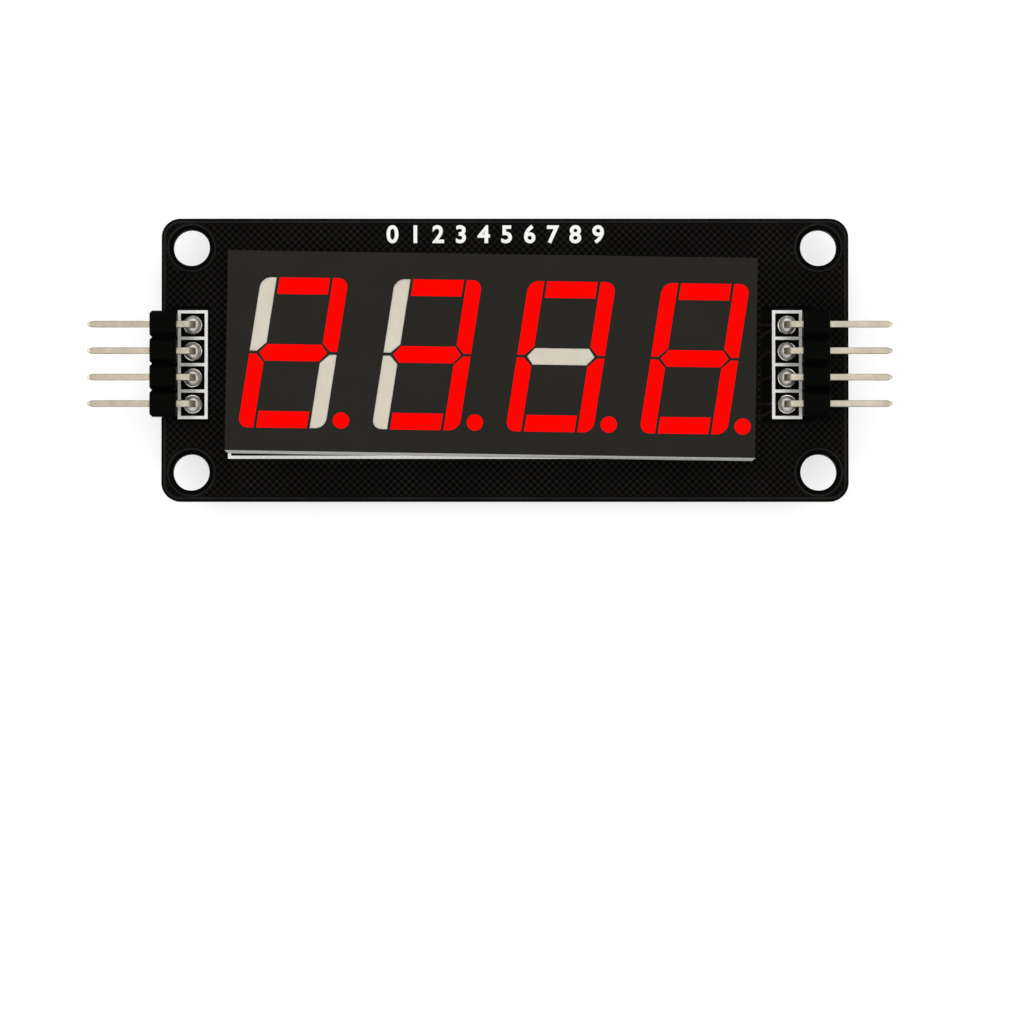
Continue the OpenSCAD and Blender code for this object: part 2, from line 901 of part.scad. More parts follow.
// Middle line of a gull-wing lead, from the body's side out, towards the board and out again.
function lead_path() =
    let (foot_z = -copper_t - lead_t / 2, r = lead_bend_r, heel_y = lead_span / 2 - foot_l)
    let (leg_h = foot_z - lead_z - 2 * r * (1 - sin(lead_lean)))
    let (shoulder_y = heel_y - 2 * r * cos(lead_lean) - leg_h * tan(lead_lean))
    concat(
        [[chip_d / 2, lead_z]],
        arc([shoulder_y, lead_z + r], r, -90, -lead_lean),
        arc([heel_y, foot_z - r], r, 180 - lead_lean, 90),
        [[lead_span / 2, foot_z]]
    );

module chip_lead() {
    rotate([90, 0, 90])
        linear_extrude(lead_w, center = true)
            polygon(strip(lead_path(), lead_t));
}

module at_leads() {
    for (x = lead_xs, side = [0, 180])
        translate([chip_x, 0, 0])
            rotate(side)
                translate([x, 0, 0])
                    children();
}

module driver_chip_leads() {
    color("silver")
        at_leads()
            chip_lead();
}

fillet_rise = 0.22;

// A wedge of solder in front of each foot, up to the foot's thickness.
module foot_fillet() {
    toe_y = lead_span / 2;
    pad_end = toe_y + chip_pad_toe;
    rotate([90, 0, 90])
        linear_extrude(lead_w, center = true)
            polygon([
                [toe_y, -copper_t], [pad_end, -copper_t],
                [toe_y + (pad_end - toe_y) * fillet_waist, -copper_t - fillet_rise * fillet_waist],
                [toe_y, -copper_t - fillet_rise]
            ]);
}

module driver_chip_solder() {
    color("silver")
        at_leads()
            foot_fillet();
}

// Chip parts, lying along the board's height

module part_block(w, l, h) {
    translate([-w / 2, -l / 2, -copper_t - h])
        cube([w, l, h]);
}

// The ceramic between and inside the tinned ends.
module part_body(h) {
    part_block(part_w - 2 * end_t, part_l - 2 * end_t, h - end_t);
}

module part_ends(h) {
    difference() {
        part_block(part_w, part_l, h);
        part_block(part_w - 2 * end_t, part_l - 2 * end_t, h - end_t);
        translate([0, 0, -eps])
            part_block(part_w + 2 * eps, part_l - 2 * end_l, h + 2 * eps);
        translate([0, 0, 2 * eps])
            part_block(part_w + 2 * eps, part_l - 2 * end_l, h);
    }
}

fillet_top = 0.7;
fillet_waist = 0.33;

module part_fillets(h) {
    outer_y = part_pads_l / 2;
    toe = outer_y - part_l / 2;
    for (s = [0, 180])
        rotate(s)
            rotate([90, 0, 90])
                linear_extrude(part_w, center = true)
                    polygon([
                        [part_l / 2, -copper_t], [outer_y, -copper_t],
                        [part_l / 2 + toe * fillet_waist, -copper_t - h * fillet_top * fillet_waist],
                        [part_l / 2, -copper_t - h * fillet_top]
                    ]);
}

module resistor_body(i) {
    color([0.2, 0.2, 0.2])
        at_part(resistors[i])
            part_body(resistor_h);
}

module resistor_ends(i) {
    color("silver")
        at_part(resistors[i])
            part_ends(resistor_h);
}

module capacitor_body(i) {
    color(i == 0 ? [0.55, 0.33, 0.28] : [0.76, 0.66, 0.5])
        at_part(capacitors[i])
            part_body(capacitor_h);
}

module capacitor_ends(i) {
    color("silver")
        at_part(capacitors[i])
            part_ends(capacitor_h);
}

light_base_h = 0.25;

module power_light_base() {
    color("white")
        at_part(power_light)
            part_body(light_base_h + end_t);
}

module power_light_lens() {
    color([0.85, 0.95, 0.88])
        at_part(power_light)
            translate([0, 0, -light_base_h])
                part_block(part_w - 2 * end_t, part_l - 2 * end_l, lens_h - light_base_h);
}

module power_light_ends() {
    color("silver")
        at_part(power_light)
            part_ends(light_base_h + end_t);
}

module chip_part_solder() {
    color("silver") {
        for (place = resistors)
            at_part(place)
                part_fillets(resistor_h);
        for (place = capacitors)
            at_part(place)
                part_fillets(capacitor_h);
        at_part(power_light)
            part_fillets(light_base_h + end_t);
    }
}

if (shown("circuit_board")) circuit_board();
if (shown("front_print")) front_print();
if (shown("back_print")) back_print();
if (shown("colour_mark")) colour_mark();
if (shown("hole_plating")) hole_plating();
if (shown("surface_pads")) surface_pads();
if (shown("display_housing")) display_housing();
if (shown("display_face")) display_face();
if (shown("display_inner_board")) display_inner_board();
if (shown("display_sealing")) display_sealing();
if (shown("led_dice")) led_dice();
for (i = [1:digit_count]) if (shown(str("digit_", i, "_lit"))) digit_lit(i);
for (i = [1:digit_count]) if (shown(str("digit_", i, "_unlit"))) digit_unlit(i);
if (shown("display_pins")) display_pins();
if (shown("display_solder")) display_solder();
if (shown("left_header_body")) left_header_body();
if (shown("left_header_pins")) left_header_pins();
if (shown("left_header_solder")) left_header_solder();
if (shown("right_header_body")) right_header_body();
if (shown("right_header_pins")) right_header_pins();
if (shown("right_header_solder")) right_header_solder();
if (shown("driver_chip_body")) driver_chip_body();
if (shown("driver_chip_leads")) driver_chip_leads();
if (shown("driver_chip_solder")) driver_chip_solder();
for (i = [1:len(resistors)]) if (shown(str("resistor_", i, "_body"))) resistor_body(i - 1);
for (i = [1:len(resistors)]) if (shown(str("resistor_", i, "_ends"))) resistor_ends(i - 1);
for (i = [1:len(capacitors)]) if (shown(str("capacitor_", i, "_body"))) capacitor_body(i - 1);
for (i = [1:len(capacitors)]) if (shown(str("capacitor_", i, "_ends"))) capacitor_ends(i - 1);
if (shown("power_light_base")) power_light_base();
if (shown("power_light_lens")) power_light_lens();
if (shown("power_light_ends")) power_light_ends();
if (shown("chip_part_solder")) chip_part_solder();
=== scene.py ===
import bpy
import math
import numpy as np
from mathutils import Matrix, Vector


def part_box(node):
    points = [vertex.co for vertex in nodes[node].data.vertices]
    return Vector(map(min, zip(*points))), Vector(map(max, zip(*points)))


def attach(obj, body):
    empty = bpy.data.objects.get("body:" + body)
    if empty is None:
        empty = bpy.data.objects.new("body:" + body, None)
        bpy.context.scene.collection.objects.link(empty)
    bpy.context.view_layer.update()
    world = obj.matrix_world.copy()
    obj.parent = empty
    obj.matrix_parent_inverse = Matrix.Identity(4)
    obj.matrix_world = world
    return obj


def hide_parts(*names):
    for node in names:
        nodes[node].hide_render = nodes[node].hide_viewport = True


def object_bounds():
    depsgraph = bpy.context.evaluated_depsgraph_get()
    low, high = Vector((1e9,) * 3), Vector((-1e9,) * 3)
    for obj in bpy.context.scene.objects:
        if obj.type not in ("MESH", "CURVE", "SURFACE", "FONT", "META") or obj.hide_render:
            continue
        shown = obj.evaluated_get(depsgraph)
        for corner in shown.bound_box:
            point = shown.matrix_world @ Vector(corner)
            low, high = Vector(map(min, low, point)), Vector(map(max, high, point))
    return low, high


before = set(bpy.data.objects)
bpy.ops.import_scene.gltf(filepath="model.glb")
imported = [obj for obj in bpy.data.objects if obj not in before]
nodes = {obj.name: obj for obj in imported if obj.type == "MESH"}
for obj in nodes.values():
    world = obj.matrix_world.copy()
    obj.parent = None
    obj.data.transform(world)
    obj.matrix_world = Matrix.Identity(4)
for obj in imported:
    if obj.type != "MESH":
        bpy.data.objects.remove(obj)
cadLow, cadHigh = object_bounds()
mm = 0.001
board = {"half": (33.0, 13.6), "corner": 1.8, "thick": 1.6, "padThick": 0.05}  # mm
print("frame loaded:", len(nodes), "nodes")

# Camera, floor and light.

view = {
    "place": (0.0, -34.0, 651.6),  # mm, straight above and a little below the module
    "aim": (0.0, -13.94, 1.6),  # this point of the board is the picture's centre
    "widthAtBoard": 96.97,  # mm of board plane across the picture
}
eye, aim = Vector(view["place"]) * mm, Vector(view["aim"]) * mm
camData = bpy.data.cameras.new("productCamera")
camData.lens = camData.sensor_width * (aim - eye).length / (view["widthAtBoard"] * mm)
camData.clip_start, camData.clip_end = 0.01, 20
camera = bpy.data.objects.new("productCamera", camData)
bpy.context.scene.collection.objects.link(camera)
camera.location = eye
camera.rotation_euler = (aim - eye).to_track_quat("-Z", "Y").to_euler()
bpy.context.scene.camera = camera
bpy.context.scene.view_settings.view_transform = "Standard"


def addNode(tree, kind, inputs=None, **settings):
    node = tree.nodes.new(kind)
    for key, value in settings.items():
        setattr(node, key, value)
    for key, value in (inputs or {}).items():
        if isinstance(value, bpy.types.NodeSocket):
            tree.links.new(value, node.inputs[key])
        else:
            node.inputs[key].default_value = value
    return node


def maths(tree, operation, a, b=0.0, c=0.0):
    # one Math node; a, b and c are numbers or sockets
    return addNode(tree, "ShaderNodeMath", {0: a, 1: b, 2: c}, operation=operation).outputs[0]


def mixColours(tree, amount, first, second):
    node = addNode(tree, "ShaderNodeMix", {0: amount, 6: first, 7: second}, data_type="RGBA")
    return node.outputs[2]


def spread(tree, value, low, high, outLow=0.0, outHigh=1.0):
    # a value's range from low to high carried over to another, and cut off beyond both ends
    node = addNode(tree, "ShaderNodeMapRange", {
        "Value": value, "From Min": low, "From Max": high, "To Min": outLow, "To Max": outHigh})
    return node.outputs["Result"]


def evened(tree, noise, outLow=0.0, outHigh=1.0):
    # a noise keeps mostly between 0.3 and 0.7, and this lets it fill its whole range
    return spread(tree, noise, 0.3, 0.7, outLow, outHigh)


# The floor is seen only from above and only by the camera; light from the lower half of the
# room reaches the module's back as it would on a glass table.
floorLook = {
    "colour": (0.43, 0.43, 0.427, 1),
    "size": 6.0,  # m
    "lift": 0.65, "farLift": 1.0,  # its own light, at the module and far away
    "fade": (0.15, 0.45),  # m from the module, between which the lift grows
}
floorMesh = bpy.data.meshes.new("floor")
half = floorLook["size"] / 2
floorMesh.from_pydata(
    [(-half, -half, cadLow.z), (half, -half, cadLow.z), (half, half, cadLow.z), (-half, half, cadLow.z)],
    [], [(0, 1, 2, 3)])
floor = bpy.data.objects.new("floor", floorMesh)
bpy.context.scene.collection.objects.link(floor)
floorMat = bpy.data.materials.new("paleFloor")
floorMat.use_nodes = True
tree = floorMat.node_tree
tree.nodes.clear()
rayKind = addNode(tree, "ShaderNodeLightPath")
facing = addNode(tree, "ShaderNodeNewGeometry")
seen = maths(tree, "MULTIPLY", rayKind.outputs["Is Camera Ray"],
             maths(tree, "SUBTRACT", 1.0, facing.outputs["Backfacing"]))
paint = addNode(tree, "ShaderNodeBsdfDiffuse", {"Color": floorLook["colour"]})
# away from the module, where the lamps no longer reach, the floor is lifted to white
away = addNode(tree, "ShaderNodeVectorMath", {0: addNode(tree, "ShaderNodeTexCoord").outputs["Object"]},
               operation="LENGTH").outputs["Value"]
lift = spread(tree, away, *floorLook["fade"], floorLook["lift"], floorLook["farLift"])
glow = addNode(tree, "ShaderNodeEmission", {"Strength": lift})
solid = addNode(tree, "ShaderNodeAddShader", {0: paint.outputs[0], 1: glow.outputs[0]})
clear = addNode(tree, "ShaderNodeBsdfTransparent")
blend = addNode(tree, "ShaderNodeMixShader", {0: seen, 1: clear.outputs[0], 2: solid.outputs[0]})
addNode(tree, "ShaderNodeOutputMaterial", {"Surface": blend.outputs[0]})
floorMesh.materials.append(floorMat)

# A pale room, darker right overhead and right below, so that black plastic stays black from both.
# Each entry is a height, from 0 straight down to 1 straight up, and its level.
roomLook = {
    "below": (0.03, 0.22), "lowWall": (0.36, 0.60), "horizon": (0.62, 0.72), "overhead": (0.97, 0.24),
}
world = bpy.data.worlds.new("paleRoom")
bpy.context.scene.world = world
world.use_nodes = True
tree = world.node_tree
tree.nodes.clear()
direction = addNode(tree, "ShaderNodeTexCoord")
height = addNode(tree, "ShaderNodeSeparateXYZ", {0: direction.outputs["Generated"]})
ramp = addNode(tree, "ShaderNodeValToRGB", {0: maths(tree, "MULTIPLY_ADD", height.outputs[2], 0.5, 0.5)})
steps = ramp.color_ramp.elements
steps.remove(steps[1])
for count, (place, level) in enumerate(roomLook.values()):
    step = steps.new(place) if count else steps[0]
    step.position, step.color = place, (level, level, level, 1)
# the camera sees it white, and so do mirroring and clear faces
rayKind = addNode(tree, "ShaderNodeLightPath")
mirrored = maths(tree, "MAXIMUM", rayKind.outputs["Is Glossy Ray"], rayKind.outputs["Is Transmission Ray"])
bright = maths(tree, "MAXIMUM", rayKind.outputs["Is Camera Ray"], mirrored)
shown = mixColours(tree, bright, ramp.outputs[0], (1, 1, 1, 1))
room = addNode(tree, "ShaderNodeBackground", {"Color": shown, "Strength": 1.0})
addNode(tree, "ShaderNodeOutputWorld", {"Surface": room.outputs[0]})

# Place in mm, side in mm, watts; all are aimed at the module. The two boxes in front of its faces stand
# close to the line of sight, so that flat metal is bright, and the blacks are too matt to show them.
lamps = {
    "leftBox": ((-360, 40, 300), 260, 0.70),
    "rightBox": ((340, -30, 330), 240, 0.54),
    "farBox": ((20, 380, 330), 300, 0.60),
    "nearBox": ((-40, -360, 300), 260, 0.33),
    "frontBox": ((30, 50, 640), 300, 0.62),
    "underLeft": ((-340, 60, -310), 260, 0.57),
    "underRight": ((340, 40, -310), 260, 0.49),
    "underFar": ((10, 360, -310), 260, 0.45),
    "underFront": ((-30, 20, -640), 300, 0.66),
}
for name, (place, side, power) in lamps.items():
    lampData = bpy.data.lights.new(name, "AREA")
    lampData.shape, lampData.size, lampData.energy = "SQUARE", side * mm, power
    lamp = bpy.data.objects.new(name, lampData)
    bpy.context.scene.collection.objects.link(lamp)
    lamp.location = Vector(place) * mm
    lamp.rotation_euler = (-lamp.location).to_track_quat("-Z", "Y").to_euler()
print("camera, floor and lamps placed")

# Finishes.


def startFinish(name, look):
    # a material whose texture space is the module's own frame in millimetres
    mat = bpy.data.materials.new(name)
    mat.use_nodes = True
    tree = mat.node_tree
    skin = tree.nodes["Principled BSDF"]
    skin.inputs["Base Color"].default_value = (*look["colour"], 1)
    skin.inputs["Roughness"].default_value = look.get("rough", 0.5)
    skin.inputs["Metallic"].default_value = look.get("metal", 0.0)
    skin.inputs["Specular IOR Level"].default_value = look.get("shine", 0.5)
    skin.inputs["Coat Weight"].default_value = look.get("coat", 0.0)
    skin.inputs["Coat Roughness"].default_value = look.get("coatRough", 0.1)
    if "glow" in look:
        skin.inputs["Emission Color"].default_value = (*look["glow"], 1)
        skin.inputs["Emission Strength"].default_value = look["glowPower"]
    if "milk" in look:  # light wanders this far under the skin, in mm
        skin.inputs["Subsurface Weight"].default_value = 1.0
        skin.inputs["Subsurface Radius"].default_value = (1.0, 1.0, 0.9)
        skin.inputs["Subsurface Scale"].default_value = look["milk"] * mm
    coords = addNode(tree, "ShaderNodeTexCoord")
    scaled = addNode(tree, "ShaderNodeMapping",
                     {"Vector": coords.outputs["Object"], "Scale": (1000, 1000, 1000)})
    return mat, tree, skin, scaled.outputs["Vector"]


def mottle(tree, space, perMm, detail=4.0, rough=0.55):
    return addNode(tree, "ShaderNodeTexNoise",
                   {"Vector": space, "Scale": perMm, "Detail": detail, "Roughness": rough}).outputs["Fac"]


def shade(colour, factor):
    return tuple(min(1.0, c * factor) for c in colour) + (1,)


def addBump(tree, skin, relief, depthMm, strength=0.5):
    bump = addNode(tree, "ShaderNodeBump",
                   {"Height": relief, "Distance": depthMm * mm, "Strength": strength})
    tree.links.new(bump.outputs["Normal"], skin.inputs["Normal"])


def plainFinish(name, look):
    # cloudy colour, uneven gloss and a fine grain: what most moulded, tinned and printed faces need
    mat, tree, skin, space = startFinish(name, look)
    cloud = mottle(tree, space, look.get("cloudPerMm", 0.8))
    low, high = look.get("cloud", (0.93, 1.06))
    tone = mixColours(tree, evened(tree, cloud), shade(look["colour"], low), shade(look["colour"], high))
    tree.links.new(tone, skin.inputs["Base Color"])
    smear = mottle(tree, space, 2.2, 3.0)
    swing = look.get("roughSwing", 0.06)
    rough = evened(tree, smear, look["rough"] - swing, look["rough"] + swing)
    tree.links.new(rough, skin.inputs["Roughness"])
    grain = mottle(tree, space, look.get("grainPerMm", 14.0), 5.0, 0.6)
    addBump(tree, skin, grain, look.get("grainDepth", 0.01))
    return mat


looks = {
    "white_ink": dict(colour=(0.89, 0.89, 0.87), rough=0.55, shine=0.3, cloud=(0.90, 1.04), cloudPerMm=3.0,
                      grainPerMm=20.0, grainDepth=0.012),
    "black_ink": dict(colour=(0.0015, 0.0016, 0.0020), rough=0.5, shine=0.03, cloud=(0.8, 1.3)),
    "tin": dict(colour=(0.70, 0.68, 0.65), rough=0.30, metal=0.93, cloud=(0.86, 1.06), cloudPerMm=1.2,
                grainPerMm=3.0, grainDepth=0.012, roughSwing=0.08),
    "solder": dict(colour=(0.51, 0.48, 0.465), rough=0.30, metal=0.90, cloud=(0.82, 1.10), cloudPerMm=1.8,
                   grainPerMm=2.2, grainDepth=0.030, roughSwing=0.09),
    "solder_dull": dict(colour=(0.52, 0.485, 0.455), rough=0.44, metal=0.80, cloud=(0.80, 1.10),
                        cloudPerMm=2.2, grainPerMm=3.0, grainDepth=0.035, roughSwing=0.10),
    "housing_white": dict(colour=(0.70, 0.69, 0.66), rough=0.42, cloud=(0.965, 1.02), cloudPerMm=0.35,
                          grainPerMm=9.0, grainDepth=0.012, milk=0.25),
    "face_grey": dict(colour=(0.0180, 0.0170, 0.0138), rough=0.55, shine=0.02, cloud=(0.95, 1.05),
                      cloudPerMm=0.12, grainPerMm=11.0, grainDepth=0.012),
    "segment_lit": dict(colour=(0.40, 0.0006, 0.0004), rough=0.34, shine=0.006, glow=(1.0, 0.0004, 0.0002),
                        glowPower=0.60, cloud=(0.92, 1.05), cloudPerMm=0.6, grainDepth=0.006),
    "segment_unlit": dict(colour=(0.640, 0.596, 0.503), rough=0.36, shine=0.12, cloud=(0.955, 1.03),
                          cloudPerMm=0.5, grainDepth=0.006, milk=0.35),
    "inner_board": dict(colour=(0.055, 0.11, 0.045), rough=0.45, cloud=(0.85, 1.15)),
    "sealing": dict(colour=(0.60, 0.59, 0.55), rough=0.35, cloud=(0.92, 1.05), grainPerMm=3.0,
                    grainDepth=0.02),
    "die": dict(colour=(0.30, 0.24, 0.12), rough=0.3, metal=0.6, cloud=(0.8, 1.2)),
    "header_black": dict(colour=(0.0011, 0.0011, 0.0009), rough=0.42, shine=0.014, cloud=(0.8, 1.3),
                         grainPerMm=16.0, grainDepth=0.012),
    "header_pin": dict(colour=(0.301, 0.268, 0.212), rough=0.34, metal=0.90, cloud=(0.84, 1.06),
                       cloudPerMm=0.7, grainPerMm=4.0, grainDepth=0.003),
    "mask_ridge": dict(colour=(0.0070, 0.0045, 0.0042), rough=0.34, shine=0.02, cloud=(0.6, 1.3),
                       cloudPerMm=0.4),
    "capacitor_brown": dict(colour=(0.36, 0.20, 0.15), rough=0.40, cloud=(0.90, 1.08), cloudPerMm=3.0),
    "capacitor_tan": dict(colour=(0.41, 0.31, 0.22), rough=0.40, cloud=(0.90, 1.08), cloudPerMm=3.0),
    "capacitor_sand": dict(colour=(0.58, 0.46, 0.32), rough=0.40, cloud=(0.90, 1.08), cloudPerMm=3.0),
    "light_base": dict(colour=(0.70, 0.72, 0.66), rough=0.45, cloud=(0.93, 1.05), cloudPerMm=3.0),
    "light_lens": dict(colour=(0.80, 0.86, 0.78), rough=0.16, coat=0.5, cloud=(0.95, 1.04), cloudPerMm=2.0,
                       milk=0.15, grainDepth=0.002),
}
finishes = {name: plainFinish(name, look) for name, look in looks.items()}


def sizeOf(tree, x, y):
    # length of a flat vector, from its two sockets
    squares = maths(tree, "MULTIPLY_ADD", x, x, maths(tree, "MULTIPLY", y, y))
    return maths(tree, "SQRT", squares)


def outsideBoxes(tree, x, y, boxes, soft):
    # 0 within any of the rectangles, each given by its centre and half size, and 1 outside them all
    clear = 1.0
    for (cx, cy), (halfX, halfY) in boxes:
        dx = maths(tree, "SUBTRACT", maths(tree, "ABSOLUTE", maths(tree, "SUBTRACT", x, cx)), halfX)
        dy = maths(tree, "SUBTRACT", maths(tree, "ABSOLUTE", maths(tree, "SUBTRACT", y, cy)), halfY)
        clear = maths(tree, "MULTIPLY", clear, spread(tree, maths(tree, "MAXIMUM", dx, dy), 0.0, soft))
    return clear


# places and widths in mm
maskLook = {
    # the lighter hatch colours, front and back, also serve as the painted highlight at each hatch crossing
    "colour": (0.0011, 0.0009, 0.0008), "hatchAndHighlight": (0.0165, 0.0150, 0.0130),
    "backColour": (0.0028, 0.0004, 0.0005), "backHatchAndHighlight": (0.0170, 0.0082, 0.0085),
    "rough": 0.34, "shine": 0.009,
    "hatchPitch": 0.50, "hatchLine": 0.22, "hatchDepth": 0.03,
    "lineShare": 0.30,  # how strong a line is beside a crossing
    "hole": (30.12, 10.8),
    "holeClear": 2.42, "rimClear": 0.55,  # no hatch nearer than this to a hole's centre or the rim
    "holeRidge": (2.26, 0.09), "rimRidge": (0.31, 0.11),  # place and half width of each ridge
    "frontClear": [((-30.0, -0.45), (1.6, 5.6)), ((27.1, -0.45), (2.4, 5.6))],  # round the headers
    "backClear": [((-0.9, 0.0), (9.6, 9.2)), ((-14.0, 2.0), (4.4, 5.6))],  # round the chip and its parts
    "backHatchFrom": (-0.6, 0.4),  # on the back, the hatch fades in between these heights
    "soft": 0.08,
    "edgeColour": (0.020, 0.015, 0.011), "edgeRough": 0.75,
    "layerTurns": 26.0, "fibreStretch": (2.0, 2.0, 14.0),  # radians per mm, and how the fibres lie
}


def boardFinish(look):
    # black solder mask over a cross-hatched copper plane, with painted highlights at the hatch crossings,
    # and the cut glass-fibre edge
    mat, tree, skin, space = startFinish("board_mask", look)
    axes = addNode(tree, "ShaderNodeSeparateXYZ", {0: space})
    x, y, z = axes.outputs[0], axes.outputs[1], axes.outputs[2]
    absX, absY = maths(tree, "ABSOLUTE", x), maths(tree, "ABSOLUTE", y)
    pitch = look["hatchPitch"] * math.sqrt(2)

    def lines(value):
        # ridges across one diagonal: the distance to the nearest line, cut off at its half width
        turn = maths(tree, "FRACT", maths(tree, "ADD", maths(tree, "DIVIDE", value, pitch), 200.0))
        away = maths(tree, "ABSOLUTE", maths(tree, "SUBTRACT", turn, 0.5))
        return spread(tree, away, look["hatchLine"] / 2, look["hatchLine"] / 2 + 0.16, 1.0, 0.0)

    def ridgeAt(value, place, halfWidth):
        # 1 on a line where value equals place, fading over its half width
        away = maths(tree, "ABSOLUTE", maths(tree, "SUBTRACT", value, place))
        return spread(tree, away, halfWidth * 0.6, halfWidth * 1.6, 1.0, 0.0)

    # the lines are faint, and their crossings are painted bright as a painted highlight
    one, other = lines(maths(tree, "ADD", x, y)), lines(maths(tree, "SUBTRACT", x, y))
    crossingHighlight = maths(tree, "MULTIPLY", maths(tree, "MULTIPLY", one, other), 1 - look["lineShare"])
    hatchAndHighlight = maths(tree, "MULTIPLY_ADD", maths(tree, "MAXIMUM", one, other), look["lineShare"], crossingHighlight)
    fromHole = sizeOf(tree, maths(tree, "SUBTRACT", absX, look["hole"][0]),
                      maths(tree, "SUBTRACT", absY, look["hole"][1]))
    # distance to the board's rounded outline, positive inside
    cornerX = maths(tree, "SUBTRACT", absX, board["half"][0] - board["corner"])
    cornerY = maths(tree, "SUBTRACT", absY, board["half"][1] - board["corner"])
    inCorner = sizeOf(tree, maths(tree, "MAXIMUM", cornerX, 0.0), maths(tree, "MAXIMUM", cornerY, 0.0))
    inFlat = maths(tree, "MINIMUM", maths(tree, "MAXIMUM", cornerX, cornerY), 0.0)
    fromRim = maths(tree, "SUBTRACT", board["corner"], maths(tree, "ADD", inCorner, inFlat))
    # where the hatch lies, on each face
    plane = maths(tree, "MULTIPLY",
                  spread(tree, fromHole, look["holeClear"], look["holeClear"] + look["soft"]),
                  spread(tree, fromRim, look["rimClear"] - look["soft"], look["rimClear"]))
    front = outsideBoxes(tree, x, y, look["frontClear"], look["soft"])
    back = maths(tree, "MULTIPLY", spread(tree, y, *look["backHatchFrom"]),
                 outsideBoxes(tree, x, y, look["backClear"], look["soft"]))
    onBack = spread(tree, z, board["thick"] / 2 - 0.1, board["thick"] / 2 + 0.1, 1.0, 0.0)
    where = addNode(tree, "ShaderNodeMix", {0: onBack, 2: front, 3: back}, data_type="FLOAT").outputs[0]
    copperAndHighlight = maths(tree, "MULTIPLY", hatchAndHighlight, maths(tree, "MULTIPLY", plane, where))
    # a ridge runs round the board's rim, and on the front one round each mounting hole
    holeRidge = maths(tree, "MULTIPLY", ridgeAt(fromHole, *look["holeRidge"]),
                      maths(tree, "SUBTRACT", 1.0, onBack))
    ridges = maths(tree, "MAXIMUM", ridgeAt(fromRim, *look["rimRidge"]), holeRidge)
    copperAndHighlight = maths(tree, "MAXIMUM", copperAndHighlight, ridges)
    # the mask is lighter over copper, a little unevenly, and the bright hatch crossings are painted
    # highlights
    plain = mixColours(tree, onBack, (*look["colour"], 1), (*look["backColour"], 1))
    lighter = mixColours(tree, onBack, (*look["hatchAndHighlight"], 1), (*look["backHatchAndHighlight"], 1))
    uneven = spread(tree, mottle(tree, space, 0.25, 5.0), 0.35, 0.65, 0.6, 1.0)
    face = mixColours(tree, maths(tree, "MULTIPLY", copperAndHighlight, uneven), plain, lighter)
    # the cut edge: layers of glass fibre, seen only where the surface looks sideways
    geometry = addNode(tree, "ShaderNodeNewGeometry")
    normal = addNode(tree, "ShaderNodeSeparateXYZ", {0: geometry.outputs["Normal"]})
    sideways = spread(tree, maths(tree, "ABSOLUTE", normal.outputs[2]), 0.45, 0.55, 1.0, 0.0)
    drawn = addNode(tree, "ShaderNodeMapping", {"Vector": space, "Scale": look["fibreStretch"]})
    layers = maths(tree, "ADD", maths(tree, "SINE", maths(tree, "MULTIPLY", z, look["layerTurns"])),
                   mottle(tree, drawn.outputs["Vector"], 1.6, 5.0))
    fibre = mixColours(tree, spread(tree, layers, -0.6, 1.6), shade(look["edgeColour"], 0.55),
                       shade(look["edgeColour"], 1.5))
    tree.links.new(mixColours(tree, sideways, face, fibre), skin.inputs["Base Color"])
    smear = evened(tree, mottle(tree, space, 0.5, 4.0), look["rough"] - 0.05, look["rough"] + 0.06)
    rough = addNode(tree, "ShaderNodeMix", {0: sideways, 2: smear, 3: look["edgeRough"]}, data_type="FLOAT")
    tree.links.new(rough.outputs[0], skin.inputs["Roughness"])
    ripple = maths(tree, "MULTIPLY_ADD", mottle(tree, space, 7.0, 3.0), 0.25, copperAndHighlight)
    addBump(tree, skin, ripple, look["hatchDepth"], 0.7)
    return mat


finishes["board_mask"] = boardFinish(maskLook)

resistorLook = {
    "colour": (0.62, 0.60, 0.55), "rough": 0.50,
    "coating": (0.100, 0.084, 0.076), "glassRough": 0.25, "coatZ": -0.47,  # it lies below this height
}


def resistorFinish(look):
    # white ceramic, with a dark glass coating over the resistive film on its outer face
    mat, tree, skin, space = startFinish("resistor_grey", look)
    z = addNode(tree, "ShaderNodeSeparateXYZ", {0: space}).outputs[2]
    cloud = mottle(tree, space, 3.0)
    ceramic = mixColours(tree, cloud, shade(look["colour"], 0.9), shade(look["colour"], 1.05))
    glass = mixColours(tree, cloud, shade(look["coating"], 0.5), shade(look["coating"], 2.0))
    ragged = maths(tree, "MULTIPLY_ADD", cloud, 0.04, z)
    coated = spread(tree, ragged, look["coatZ"] - 0.01, look["coatZ"] + 0.03, 1.0, 0.0)
    tree.links.new(mixColours(tree, coated, ceramic, glass), skin.inputs["Base Color"])
    rough = spread(tree, coated, 0.0, 1.0, look["rough"], look["glassRough"])
    tree.links.new(rough, skin.inputs["Roughness"])
    addBump(tree, skin, mottle(tree, space, 12.0), 0.01)
    return mat


finishes["resistor_grey"] = resistorFinish(resistorLook)

chipLook = {
    "colour": (0.082, 0.071, 0.067), "rough": 0.62, "shine": 0.12,
    "dimple": (4.46, -2.2), "dimpleR": 0.44, "dimpleShadeTone": 0.10, "dimpleRough": 0.3,
}


